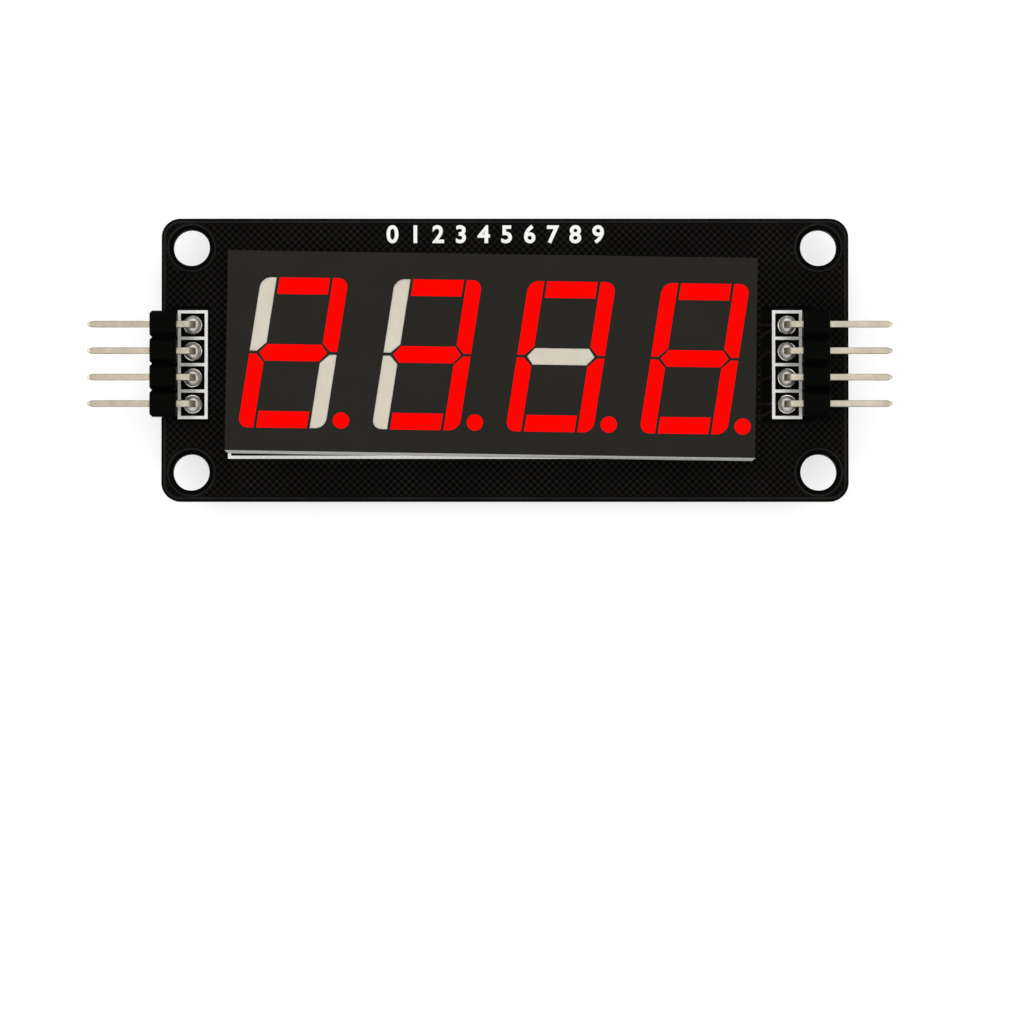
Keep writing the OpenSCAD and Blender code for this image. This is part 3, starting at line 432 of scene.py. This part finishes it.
def chipFinish(look):
    # finely sanded moulding compound; the floor of the pin-one dimple is smooth, and its colour is painted
    # much darker as painted shade in the recess
    mat, tree, skin, space = startFinish("chip_black", look)
    axes = addNode(tree, "ShaderNodeSeparateXYZ", {0: space})
    fromDimple = sizeOf(tree, maths(tree, "SUBTRACT", axes.outputs[0], look["dimple"][0]),
                        maths(tree, "SUBTRACT", axes.outputs[1], look["dimple"][1]))
    sanded = spread(tree, fromDimple, look["dimpleR"] - 0.05, look["dimpleR"])
    tone = mixColours(tree, evened(tree, mottle(tree, space, 0.5)), shade(look["colour"], 0.92),
                      shade(look["colour"], 1.08))
    # the dimple's floor colour is painted near black: painted shade in the recess
    tone = mixColours(tree, sanded, shade(look["colour"], look["dimpleShadeTone"]), tone)
    tree.links.new(tone, skin.inputs["Base Color"])
    rough = spread(tree, sanded, 0.0, 1.0, look["dimpleRough"], look["rough"])
    tree.links.new(rough, skin.inputs["Roughness"])
    grain = maths(tree, "MULTIPLY", mottle(tree, space, 18.0, 5.0, 0.6), sanded)
    addBump(tree, skin, grain, 0.02)
    return mat


finishes["chip_black"] = chipFinish(chipLook)
print("finishes made:", len(finishes))

# Shape tools, all in millimetres.


def ringFaces(rows, cols, start=0):
    # quads between neighbouring rows of a closed tube, and one face over each end
    r = np.arange(rows - 1)[:, None]
    c = np.arange(cols)[None, :]
    a, b = r * cols + c, r * cols + (c + 1) % cols
    quads = (np.stack([a, b, b + cols, a + cols], -1).reshape(-1, 4) + start).tolist()
    around = np.arange(cols) + start
    return quads + [around[::-1].tolist(), (around + (rows - 1) * cols).tolist()]


def enclosed(points):
    # signed volume of a tube of rows and columns: the sum of a . (b x c) over its triangles, over six
    p = points
    q = np.roll(points, -1, axis=1)
    a, b, c, d = p[:-1], q[:-1], q[1:], p[1:]
    total = (a * np.cross(b, c)).sum() + (a * np.cross(c, d)).sum()
    for row, way in ((p[0], -1), (p[-1], 1)):
        centre = row.mean(0)
        total += way * (centre * np.cross(row, np.roll(row, -1, axis=0))).sum()
    return total / 6


def makePiece(name, tubes, finish, replaced=(), bevel=0.0, sharp=35.0):
    # one mesh from closed tubes, each an array of rows x columns x 3; a tube wound inwards is turned round
    verts, faces = [], []
    for points in tubes:
        points = np.asarray(points, float)
        if enclosed(points) < 0:
            points = points[:, ::-1]
        faces += ringFaces(points.shape[0], points.shape[1], sum(len(v) for v in verts))
        verts.append(points.reshape(-1, 3) * mm)
    mesh = bpy.data.meshes.new(name)
    mesh.from_pydata(np.concatenate(verts).tolist(), [], faces)
    mesh.polygons.foreach_set("use_smooth", np.ones(len(mesh.polygons), bool))
    mesh.set_sharp_from_angle(angle=math.radians(sharp))
    mesh.update()
    piece = bpy.data.objects.new(name, mesh)
    bpy.context.scene.collection.objects.link(piece)
    mesh.materials.append(finishes[finish])
    if bevel:
        edge = piece.modifiers.new("softEdges", "BEVEL")
        edge.width, edge.segments = bevel * mm, 2
        edge.limit_method, edge.angle_limit = "ANGLE", math.radians(28)
    evenLight = piece.modifiers.new("evenLight", "WEIGHTED_NORMAL")
    evenLight.keep_sharp = True
    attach(piece, "root")
    if replaced:
        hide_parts(*replaced)


def roundedRect(w, h, r, perCorner=4):
    # corner arcs of radius r round a w x h rectangle, counterclockwise
    turn = np.linspace(0, np.pi / 2, perCorner)
    arcs = []
    for k, (sx, sy) in enumerate(((1, 1), (-1, 1), (-1, -1), (1, -1))):
        a = turn + k * np.pi / 2
        arcs.append(np.stack([sx * (w / 2 - r) + r * np.cos(a), sy * (h / 2 - r) + r * np.sin(a)], -1))
    return np.concatenate(arcs)


def carried(section, path, side, scale=None):
    # a section carried along a path: its first axis lies along side, its second along tangent x side
    path = np.asarray(path, float)
    step = np.diff(path, axis=0)
    step /= np.linalg.norm(step, axis=1, keepdims=True)
    tangent = np.concatenate([step[:1], step[:-1] + step[1:], step[-1:]])
    tangent /= np.linalg.norm(tangent, axis=1, keepdims=True)
    side = np.asarray(side, float)
    up = np.cross(tangent, side)
    scale = np.ones(len(path)) if scale is None else np.asarray(scale, float)
    size = section[None] * scale[:, None, None]
    return path[:, None] + size[..., :1] * side + size[..., 1:] * up[:, None]


def roundedBox(low, high, r, around=16, levels=8):
    # a sphere of radius r cut at the middle three ways, with its eighths moved to the box's corners
    low, high = np.asarray(low, float), np.asarray(high, float)
    centre, core = (low + high) / 2, (high - low) / 2 - r
    turn = (np.arange(around) + 0.5) * 2 * np.pi / around
    rise = np.radians(np.linspace(-84, 84, levels))
    n = np.stack([np.cos(rise)[:, None] * np.cos(turn), np.cos(rise)[:, None] * np.sin(turn),
                  np.sin(rise)[:, None] + 0 * turn], -1)
    return centre + np.sign(n) * core + n * r / np.array([1, 1, math.sin(math.radians(84))])


def turned(centre, radii, heights, around=28, wobble=0.0, seed=0.0):
    # a profile of radii and heights turned about an upright axis, with a slow wobble of its radius
    turn = np.linspace(0, 2 * np.pi, around, endpoint=False)
    radii, heights = np.asarray(radii, float)[:, None], np.asarray(heights, float)[:, None]
    sway = 1 + wobble * np.sin(2 * turn + seed) + 0.6 * wobble * np.sin(3 * turn + 2.3 * seed)
    return np.stack([centre[0] + radii * sway * np.cos(turn), centre[1] + radii * sway * np.sin(turn),
                     centre[2] + heights + 0 * turn], -1)


def nodeBox(name):
    low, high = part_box(name)
    return np.array(low) / mm, np.array(high) / mm


# Headers: body, pins and solder at each end of the board.

headerSet = {
    "rows": np.array([-1.5, -0.5, 0.5, 1.5]) * 2.54 - 0.45,
    "pinT": 0.64, "pinRound": 0.07, "bend": 0.42, "tailZ": -1.4,
    "tipTaper": 0.45, "tailFlat": 0.05, "tipFlat": 0.06, "endScale": 0.42, "nearEndScale": 0.52,
    "chamfer": 0.45, "edge": 0.06, "barRound": 0.08,
    "padR": 0.86, "tipR": 0.46, "holeR": 0.49, "rise": 0.74, "collar": 0.42, "hollow": 0.0,
    "wobble": 0.022,
}


def headerPin(holeX, y, pinZ, tipX, look):
    # up out of the tail, round a quarter bend, and straight out to the tip; both ends narrow
    way = 1 if tipX > holeX else -1
    turn = np.linspace(0, np.pi / 2, 7)
    bendX = holeX + way * look["bend"] * (1 - np.cos(turn))
    bendZ = pinZ - look["bend"] + look["bend"] * np.sin(turn)
    tipRun = tipX - way * np.array([look["tipTaper"], look["tipFlat"], 0.0])
    tailRun = look["tailZ"] + np.array([0.0, look["tailFlat"], look["tipTaper"]])
    x = np.concatenate([[holeX] * 3, bendX, tipRun])
    z = np.concatenate([tailRun, bendZ, [pinZ] * 3])
    path = np.stack([x, np.full_like(x, y), z], -1)
    scale = np.ones(len(path))
    scale[[0, -1]], scale[[1, -2]] = look["endScale"], look["nearEndScale"]
    return carried(roundedRect(look["pinT"], look["pinT"], look["pinRound"]), path, (0, 1, 0), scale)


def headerBody(low, high, look):
    # a square bar along y whose half width and half height shrink linearly towards each joint between cells
    c = look["chamfer"]
    joints = np.linspace(low[1], high[1], 5)
    y = np.unique(np.round(np.concatenate([joints + d for d in (-c, -c / 2, 0, c / 2, c)]), 5))
    y = y[(y >= low[1] - 1e-6) & (y <= high[1] + 1e-6)]
    gap = np.abs(y[:, None] - joints).min(1)
    halfX = (high[0] - low[0]) / 2 - np.clip(c / 2 - gap, 0, None)
    halfZ = (high[2] - low[2]) / 2 - np.clip(c - gap, 0, None)
    corner = roundedRect(2, 2, look["barRound"], 3)
    centre = (low + high) / 2
    return np.stack([centre[0] + halfX[:, None] * corner[:, 0], y[:, None] + 0 * corner[:, 0],
                     centre[2] + halfZ[:, None] * corner[:, 1]], -1)


jointSet = {
    "domePower": 1.67, "hollowPower": 1.7, "steps": 9,
    "capShare": 0.3, "capLift": 0.02,  # the small closing disc at each end
    "fillTo": (1.5, 1.54),  # without a collar the solder ends just inside the hole
}


def solderJoint(x, y, look, seed):
    # a dome whose height falls from the pin as 1 - s to the power 1.67, s being the way out to the pad's
    # edge, or, hollow, as 1 - s taken to the power 1.7; behind the board it hangs on the pad, then it fills
    # the hole, and a collar stands on the front pad
    s = np.linspace(0, 1, jointSet["steps"])
    radii = look["tipR"] + (look["padR"] - look["tipR"]) * s
    dome, hollow = 1 - s ** jointSet["domePower"], (1 - s) ** jointSet["hollowPower"]
    fall = (1 - look["hollow"]) * dome + look["hollow"] * hollow
    back = -board["padThick"] - look["rise"] * fall
    if look["collar"]:
        hole = [0.0, board["thick"]]
        frontRadii = radii[::-1]
        front = board["thick"] + board["padThick"] + look["collar"] * fall[::-1]
    else:
        hole = [0.0]
        frontRadii = [look["holeR"], look["tipR"]]
        front = jointSet["fillTo"]
    cap = [look["tipR"] * jointSet["capShare"]]
    radii = np.concatenate([cap, radii, [look["holeR"]] * len(hole), frontRadii, cap])
    heights = np.concatenate([[back[0] - jointSet["capLift"]], back, hole, front,
                              [front[-1] + jointSet["capLift"]]])
    return turned((x, y, 0), radii, heights, 28, look["wobble"], seed)


for side in ("left", "right"):
    bodyLow, bodyHigh = nodeBox(side + "_header_body")
    pinLow, pinHigh = nodeBox(side + "_header_pins")
    pinHalf = headerSet["pinT"] / 2
    holeX = pinHigh[0] - pinHalf if side == "left" else pinLow[0] + pinHalf
    tipX = pinLow[0] if side == "left" else pinHigh[0]
    pinZ = pinHigh[2] - pinHalf
    makePiece(side + "HeaderBody", [headerBody(bodyLow, bodyHigh, headerSet)], "header_black",
              [side + "_header_body"], bevel=headerSet["edge"])
    makePiece(side + "HeaderPins", [headerPin(holeX, y, pinZ, tipX, headerSet) for y in headerSet["rows"]],
              "header_pin", [side + "_header_pins"])
    makePiece(side + "HeaderSolder",
              [solderJoint(holeX, y, headerSet, k + holeX) for k, y in enumerate(headerSet["rows"])],
              "solder_dull", [side + "_header_solder"])
print("headers made")

# Display: its pins and their solder. The housing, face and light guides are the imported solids.

displaySet = {
    "centre": (-1.3, 0.15), "skew": 0.86,  # degrees
    "pitch": 2.54, "rowGap": 15.24, "pinR": 0.25, "tailZ": -1.1, "topZ": 3.5, "tipLong": 0.16,
    "padR": 0.78, "tipR": 0.30, "holeR": 0.44, "rise": 0.70, "collar": 0, "hollow": 1.0, "wobble": 0.045,
}


def onDisplay(x, y):
    # a point of the display's own plan, turned a little clockwise and moved onto the board
    a = -math.radians(displaySet["skew"])
    cx, cy = displaySet["centre"]
    return cx + x * math.cos(a) - y * math.sin(a), cy + x * math.sin(a) + y * math.cos(a)


pinGrid = [((k - 2.5) * displaySet["pitch"], row * displaySet["rowGap"] / 2)
           for row in (1, -1) for k in range(6)]
pinPlaces = [onDisplay(x, y) for x, y in pinGrid]
# the holes stand square to the board
holePlaces = [(displaySet["centre"][0] + x, displaySet["centre"][1] + y) for x, y in pinGrid]
# a pin's foot is a quarter ellipse, and its rest a plain rod
tip = np.linspace(0, np.pi / 2, 5)[1:]
pinRadii = np.append(displaySet["pinR"] * np.sin(tip * 0.98 + 0.02), displaySet["pinR"])
pinHeights = np.append(displaySet["tailZ"] + displaySet["tipLong"] * (1 - np.cos(tip)), displaySet["topZ"])
makePiece("displayPins", [turned((x, y, 0), pinRadii, pinHeights, 16) for x, y in pinPlaces],
          "tin", ["display_pins"])
makePiece("displaySolder",
          [solderJoint(x, y, displaySet, 1.7 * k) for k, (x, y) in enumerate(holePlaces)],
          "solder", ["display_solder"])
print("display pins made")

# Driver chip: body with its pin-one dimple, gull-wing leads, pads and solder.

chipSet = {
    "x": -0.84, "pitch": 1.27, "leadW": 0.41, "leadT": 0.25, "leadRound": 0.06,
    "leadZ": -1.35, "footZ": -0.175, "rootY": 3.6, "shoulderY": 4.16, "heelY": 4.36, "toeY": 5.15,
    "bend": 0.2,
    "padFrom": 4.3, "padTo": 6.1, "padW": 0.62, "padRound": 0.29, "toeW": 1.22, "heelW": 0.86,
    "solderRise": 0.25, "solderShare": 0.965, "solderShift": 0.18,
    "draft": 0.12, "edge": 0.07, "seam": 0.03,
    "dimpleInset": (1.1, 1.55), "dimpleR": 0.45, "dimpleDepth": 0.1,
}


def softPath(points, radius, steps=5):
    # straight runs with each corner rounded by a quadratic curve between points radius away from it
    points = np.asarray(points, float)
    out = [points[:1]]
    t = np.linspace(0, 1, steps)[:, None]
    for before, corner, after in zip(points[:-2], points[1:-1], points[2:]):
        a = corner + (before - corner) * min(0.48, radius / np.linalg.norm(before - corner))
        b = corner + (after - corner) * min(0.48, radius / np.linalg.norm(after - corner))
        out.append((1 - t) ** 2 * a + 2 * t * (1 - t) * corner + t ** 2 * b)
    out.append(points[-1:])
    return np.concatenate(out)


def flared(plan, length, way, heel, toe):
    # the plan's width changes evenly along y, from heel at the end near the part to toe at the far end
    along = 0.5 + way * plan[:, 1] / length
    return np.column_stack([plan[:, 0] * (heel + (toe - heel) * along), plan[:, 1]])


def mound(centre, plan, baseZ, rise, shift=0.0, power=0.55, rows=7):
    # a rounded plan shrunk towards a peak: height grows as (1 - s squared) to a power while the plan's
    # scale s falls; its foot is sunk in the pad
    s = np.linspace(1, 0.12, rows)
    lift = -rise * (1 - s ** 2) ** power
    s = np.append(1.0, s)[:, None]
    lift = np.append(board["padThick"] * 0.9, lift)[:, None]
    return np.stack([centre[0] + plan[:, 0] * s, centre[1] + plan[:, 1] * s + shift * (1 - s),
                     baseZ + lift + 0 * plan[:, 0]], -1)


def padPlate(centre, plan):
    # a flat tinned pad on the back face, a little narrower at its top
    z = -board["padThick"] * np.array([[0.0], [0.9], [1.0]])
    s = np.array([[1.0], [1.0], [0.97]])
    return np.stack([centre[0] + plan[:, 0] * s, centre[1] + plan[:, 1] * s, z + 0 * plan[:, 0]], -1)


leadPlaces = [(chipSet["x"] + (k - 4.5) * chipSet["pitch"], way) for way in (1, -1) for k in range(10)]
leadSection = roundedRect(chipSet["leadW"], chipSet["leadT"], chipSet["leadRound"], 3)
padLong = chipSet["padTo"] - chipSet["padFrom"]
leads, chipSolder, pads = [], [], []
for x, way in leadPlaces:
    route = [(x, way * chipSet["rootY"], chipSet["leadZ"]),
             (x, way * chipSet["shoulderY"], chipSet["leadZ"]),
             (x, way * chipSet["heelY"], chipSet["footZ"]),
             (x, way * chipSet["toeY"], chipSet["footZ"])]
    leads.append(carried(leadSection, softPath(route, chipSet["bend"]), (1, 0, 0)))
    padMiddle = way * (chipSet["padFrom"] + chipSet["padTo"]) / 2
    plan = roundedRect(chipSet["padW"], padLong, chipSet["padRound"], 5)
    plan = flared(plan, padLong, way, chipSet["heelW"], chipSet["toeW"])
    pads.append(padPlate((x, padMiddle), plan))
    chipSolder.append(mound((x, padMiddle), plan * chipSet["solderShare"], -board["padThick"],
                            chipSet["solderRise"], -way * chipSet["solderShift"]))
makePiece("chipLeads", leads, "tin", ["driver_chip_leads"])
makePiece("chipSolder", chipSolder, "solder", ["driver_chip_solder"])


def chipBody(low, high, look):
    # a rectangle's outline, its points at even bearings from the dimple and one at each corner, drawn in
    # above and below the parting line and at its edges; then circles in to the dimple and down its wall
    middleZ, bottomZ, topZ = (low[2] + high[2]) / 2, low[2], high[2]
    draft, soft, seam = look["draft"], look["edge"], look["seam"]
    centre, half = (low[:2] + high[:2]) / 2, (high[:2] - low[:2]) / 2
    dimple = np.array([high[0] - look["dimpleInset"][0], low[1] + look["dimpleInset"][1]])
    corners = [(x - dimple[0], y - dimple[1]) for x in (low[0], high[0]) for y in (low[1], high[1])]
    bearing = np.sort(np.concatenate([np.linspace(-np.pi, np.pi, 44, endpoint=False),
                                      [math.atan2(y, x) for x, y in corners]]))
    way = np.stack([np.cos(bearing), np.sin(bearing)], -1)
    room = np.where(way > 0, high[:2] - dimple, dimple - low[:2])
    reach = (room / np.maximum(np.abs(way), 1e-9)).min(1, keepdims=True)
    outline = (dimple + way * reach - centre) / half
    rings = []
    for z, inset in (
            (topZ, draft + soft + 0.3), (topZ, draft + soft),
            (topZ - soft * 0.3, draft + soft * 0.3), (topZ - soft, draft),
            (middleZ + seam * 2, seam), (middleZ + 0.05, 0.0),
            (middleZ - 0.05, 0.0), (middleZ - seam * 2, seam),
            (bottomZ + soft, draft), (bottomZ + soft * 0.3, draft + soft * 0.3),
            (bottomZ, draft + soft), (bottomZ, draft + soft + 0.2)):
        rings.append(np.column_stack([centre + outline * (half - inset), np.full(len(way), z)]))
    radius, floorZ = look["dimpleR"], bottomZ + look["dimpleDepth"]
    for r, z in ((radius + 0.12, bottomZ), (radius + 0.03, bottomZ), (radius, bottomZ + 0.02),
                 (radius * 0.88, floorZ), (radius * 0.3, floorZ)):
        rings.append(np.column_stack([dimple + way * r, np.full(len(way), z)]))
    return np.stack(rings)


makePiece("chipBody", [chipBody(*nodeBox("driver_chip_body"), chipSet)], "chip_black", ["driver_chip_body"])
print("driver chip made")

# Chip parts: resistors, capacitors and the power light.

partSet = {
    "endRound": 0.07, "bodyRound": 0.05, "baseRound": 0.04, "lensRound": 0.16, "endLong": 0.35,
    "padOut": 1.35, "padW": 0.95, "padLong": 0.9, "padRound": 0.16,
    "solderRise": {"resistor": 0.30, "capacitor": 0.42, "power_light": 0.20},
    "solderShare": 0.94, "solderShift": 0.16, "solderPower": 0.8,
}
bodyFinish = {"capacitor_1": "capacitor_brown", "capacitor_2": "capacitor_tan",
              "capacitor_3": "capacitor_sand", "capacitor_4": "capacitor_sand"}
partSolder = []
for part in ("resistor_1", "resistor_2", "resistor_3", "capacitor_1", "capacitor_2", "capacitor_3",
             "capacitor_4", "power_light"):
    low, high = nodeBox(part + "_ends")
    middle = (low + high) / 2
    tube = [roundedBox(low, (high[0], low[1] + partSet["endLong"], high[2]), partSet["endRound"]),
            roundedBox((low[0], high[1] - partSet["endLong"], low[2]), high, partSet["endRound"])]
    makePiece(part.replace("_", "") + "Ends", tube, "tin", [part + "_ends"])
    kind = part.rstrip("_1234")
    if part == "power_light":
        baseLow, baseHigh = nodeBox("power_light_base")
        makePiece("powerLightBase", [roundedBox(baseLow, baseHigh, partSet["baseRound"])],
                  "light_base", ["power_light_base"])
        lensLow, lensHigh = nodeBox("power_light_lens")
        makePiece("powerLightLens", [roundedBox(lensLow, lensHigh, partSet["lensRound"], 24, 12)],
                  "light_lens", ["power_light_lens"])
    else:
        bodyLow, bodyHigh = nodeBox(part + "_body")
        makePiece(part.replace("_", "") + "Body", [roundedBox(bodyLow, bodyHigh, partSet["bodyRound"])],
                  bodyFinish.get(part, "resistor_grey"), [part + "_body"])
    for way in (1, -1):
        y = middle[1] + way * (partSet["padOut"] - partSet["padLong"] / 2)
        plan = roundedRect(partSet["padW"], partSet["padLong"], partSet["padRound"])
        pads.append(padPlate((middle[0], y), plan))
        partSolder.append(mound((middle[0], y), plan * partSet["solderShare"], -board["padThick"],
                                partSet["solderRise"][kind], -way * partSet["solderShift"],
                                partSet["solderPower"]))
makePiece("partSolder", partSolder, "solder", ["chip_part_solder"])
makePiece("surfacePads", pads, "tin", ["surface_pads"])
print("chip parts made")

# Plain numbers printed on both faces.

printSet = {"thick": 0.03, "weight": 0.028}
# each line: figures, centre, height, width, whether it stands upright on its end
frontNumbers = [("0123456789", (-0.94, 12.10), 1.80, 20.9, False)]
backNumbers = [
    ("0123456789", (-1.15, 11.95), 1.80, 21.0, False),
    ("0123456789", (-0.82, 9.44), 0.86, 14.6, False),
    ("234", (-18.65, 5.1), 0.86, 2.5, True),
]
for k, y in enumerate((3.2, 0.66, -1.9, -4.4)):
    words = str(200 + 100 * k)
    backNumbers += [(words, (24.15, y), 1.05, 2.7, False), (words, (-26.8, y), 1.05, 2.7, False)]
for k in range(5):
    backNumbers.append((str(220 + 110 * k), (15.9, 2.65 - 1.49 * k), 0.90, 2.3, False))


def printedNumbers(name, lines, back):
    # each line is set as text, made a mesh, scaled to its height and width, and laid on the face
    verts, faces, count = [], [], 0
    for words, (cx, cy), tall, wide, upright in lines:
        curve = bpy.data.curves.new("line", "FONT")
        curve.body, curve.extrude, curve.resolution_u = words, 0.5, 6
        curve.offset = printSet["weight"]
        holder = bpy.data.objects.new("line", curve)
        bpy.context.scene.collection.objects.link(holder)
        # the gap between figures follows from the widths at two spacings
        widths = []
        for gap in (1.0, 2.0):
            curve.space_character = gap
            bpy.context.view_layer.update()
            widths.append(holder.dimensions.x / holder.dimensions.y)
        curve.space_character = 1.0 + (wide / tall - widths[0]) / (widths[1] - widths[0])
        bpy.context.view_layer.update()
        flat = bpy.data.meshes.new_from_object(holder.evaluated_get(bpy.context.evaluated_depsgraph_get()))
        bpy.data.objects.remove(holder)
        co = np.zeros(len(flat.vertices) * 3)
        flat.vertices.foreach_get("co", co)
        co = co.reshape(-1, 3)
        low, high = co.min(0), co.max(0)
        x = (co[:, 0] - (low[0] + high[0]) / 2) * wide / (high[0] - low[0])
        y = (co[:, 1] - (low[1] + high[1]) / 2) * tall / (high[1] - low[1])
        x, y = (-y, x) if upright else (x, y)
        up = (co[:, 2] + 0.5) * printSet["thick"]
        # on the back the line is turned half round the y axis, so that it reads right from below
        x, z = (-x, -up) if back else (x, board["thick"] + up)
        verts.append(np.stack([cx + x, cy + y, z], -1))
        faces += [tuple(v + count for v in face.vertices) for face in flat.polygons]
        count += len(co)
        bpy.data.meshes.remove(flat)
    mesh = bpy.data.meshes.new(name)
    mesh.from_pydata((np.concatenate(verts) * mm).tolist(), [], faces)
    mesh.materials.append(finishes["white_ink"])
    piece = bpy.data.objects.new(name, mesh)
    bpy.context.scene.collection.objects.link(piece)
    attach(piece, "root")


printedNumbers("frontNumbers", frontNumbers, False)
printedNumbers("backNumbers", backNumbers, True)
print("numbers printed")

# Copper tracks and vias that show as low ridges under the mask.

trackSet = {
    "wide": 0.30, "high": 0.035, "corner": 0.5, "sink": 0.012,
    "viaRadii": (0.36, 0.27, 0.17, 0.12, 0.04), "viaHeights": (0.012, -0.020, -0.022, -0.005, 0.006),
}
frontTracks = [
    [(26.2, 3.36), (24.6, 3.36), (23.4, 3.36)], [(26.3, 2.80), (25.2, 2.80), (23.4, 1.0)],
    [(26.2, 0.82), (25.2, 0.82), (23.4, -0.98)], [(26.2, -1.72), (24.9, -1.72), (23.4, -3.22)],
    [(26.2, -4.26), (23.4, -4.26)], [(26.3, -4.9), (25.4, -4.9), (24.9, -5.4), (23.4, -5.4)],
]
backTracks = [
    [(14.6, 6.3), (10.2, 10.72), (-7.5, 10.72), (-11.2, 7.3)], [(13.4, 6.3), (9.5, 10.25), (-6.6, 10.25)],
    [(5.7, 7.0), (1.4, 7.0)], [(11.2, 5.8), (8.3, 8.7)],
    [(-7.4, 2.2), (-8.8, 2.2), (-9.6, 3.0)], [(-7.4, -0.6), (-11.4, -0.6), (-12.9, -2.1)],
    [(22.2, 2.0), (20.4, 2.0), (19.6, 1.2)], [(26.2, -1.7), (21.4, -6.5), (9.2, -6.5)],
    [(26.2, -4.3), (22.6, -7.9), (7.4, -7.9)], [(-11.6, -5.4), (-13.0, -6.8), (-24.4, -6.8), (-26.2, -5.0)],
]
vias = [(12.3, 1.0), (10.9, -3.9), (-8.9, -4.4), (-11.7, -0.6), (-19.6, 1.3), (20.8, -6.5), (9.2, -6.5),
        (7.4, -7.9), (-9.6, 3.0), (14.6, 6.3)]


def trackTube(points, z):
    # a low rounded strip carried along the route, half sunk in the board
    route = [(x, y, z) for x, y in points]
    route = softPath(route, trackSet["corner"]) if len(route) > 2 else route
    strip = roundedRect(trackSet["high"] * 2, trackSet["wide"], trackSet["high"] * 0.95, 3)
    return carried(strip, route, (0, 0, 1))


tracks = [trackTube(points, board["thick"] - trackSet["sink"]) for points in frontTracks]
tracks += [trackTube(points, trackSet["sink"]) for points in backTracks]
tracks += [turned((x, y, 0), trackSet["viaRadii"], trackSet["viaHeights"], 18) for x, y in vias]
makePiece("maskedTracks", tracks, "mask_ridge", sharp=50)
print("tracks made")

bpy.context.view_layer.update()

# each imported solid's finish, by its name or, where many are alike, by the ending of its name
nodeFinishes = {
    "circuit_board": "board_mask", "front_print": "white_ink", "back_print": "white_ink",
    "colour_mark": "black_ink", "hole_plating": "tin", "surface_pads": "tin",
    "display_housing": "housing_white", "display_face": "face_grey", "display_inner_board": "inner_board",
    "display_sealing": "sealing", "led_dice": "die", "display_pins": "tin",
    "driver_chip_body": "chip_black", "driver_chip_leads": "tin",
    "power_light_base": "light_base", "power_light_lens": "light_lens",
}
nodeFinishes.update({part + "_body": finish for part, finish in bodyFinish.items()})
endingFinishes = {
    "_lit": "segment_lit", "_unlit": "segment_unlit", "_ends": "tin", "_solder": "solder",
    "header_pins": "header_pin", "header_body": "header_black", "_body": "resistor_grey",
}
for name, node in nodes.items():
    finish = nodeFinishes.get(name)
    if finish is None:
        finish = next(given for ending, given in endingFinishes.items() if name.endswith(ending))
    node.data.materials.clear()
    node.data.materials.append(finishes[finish])
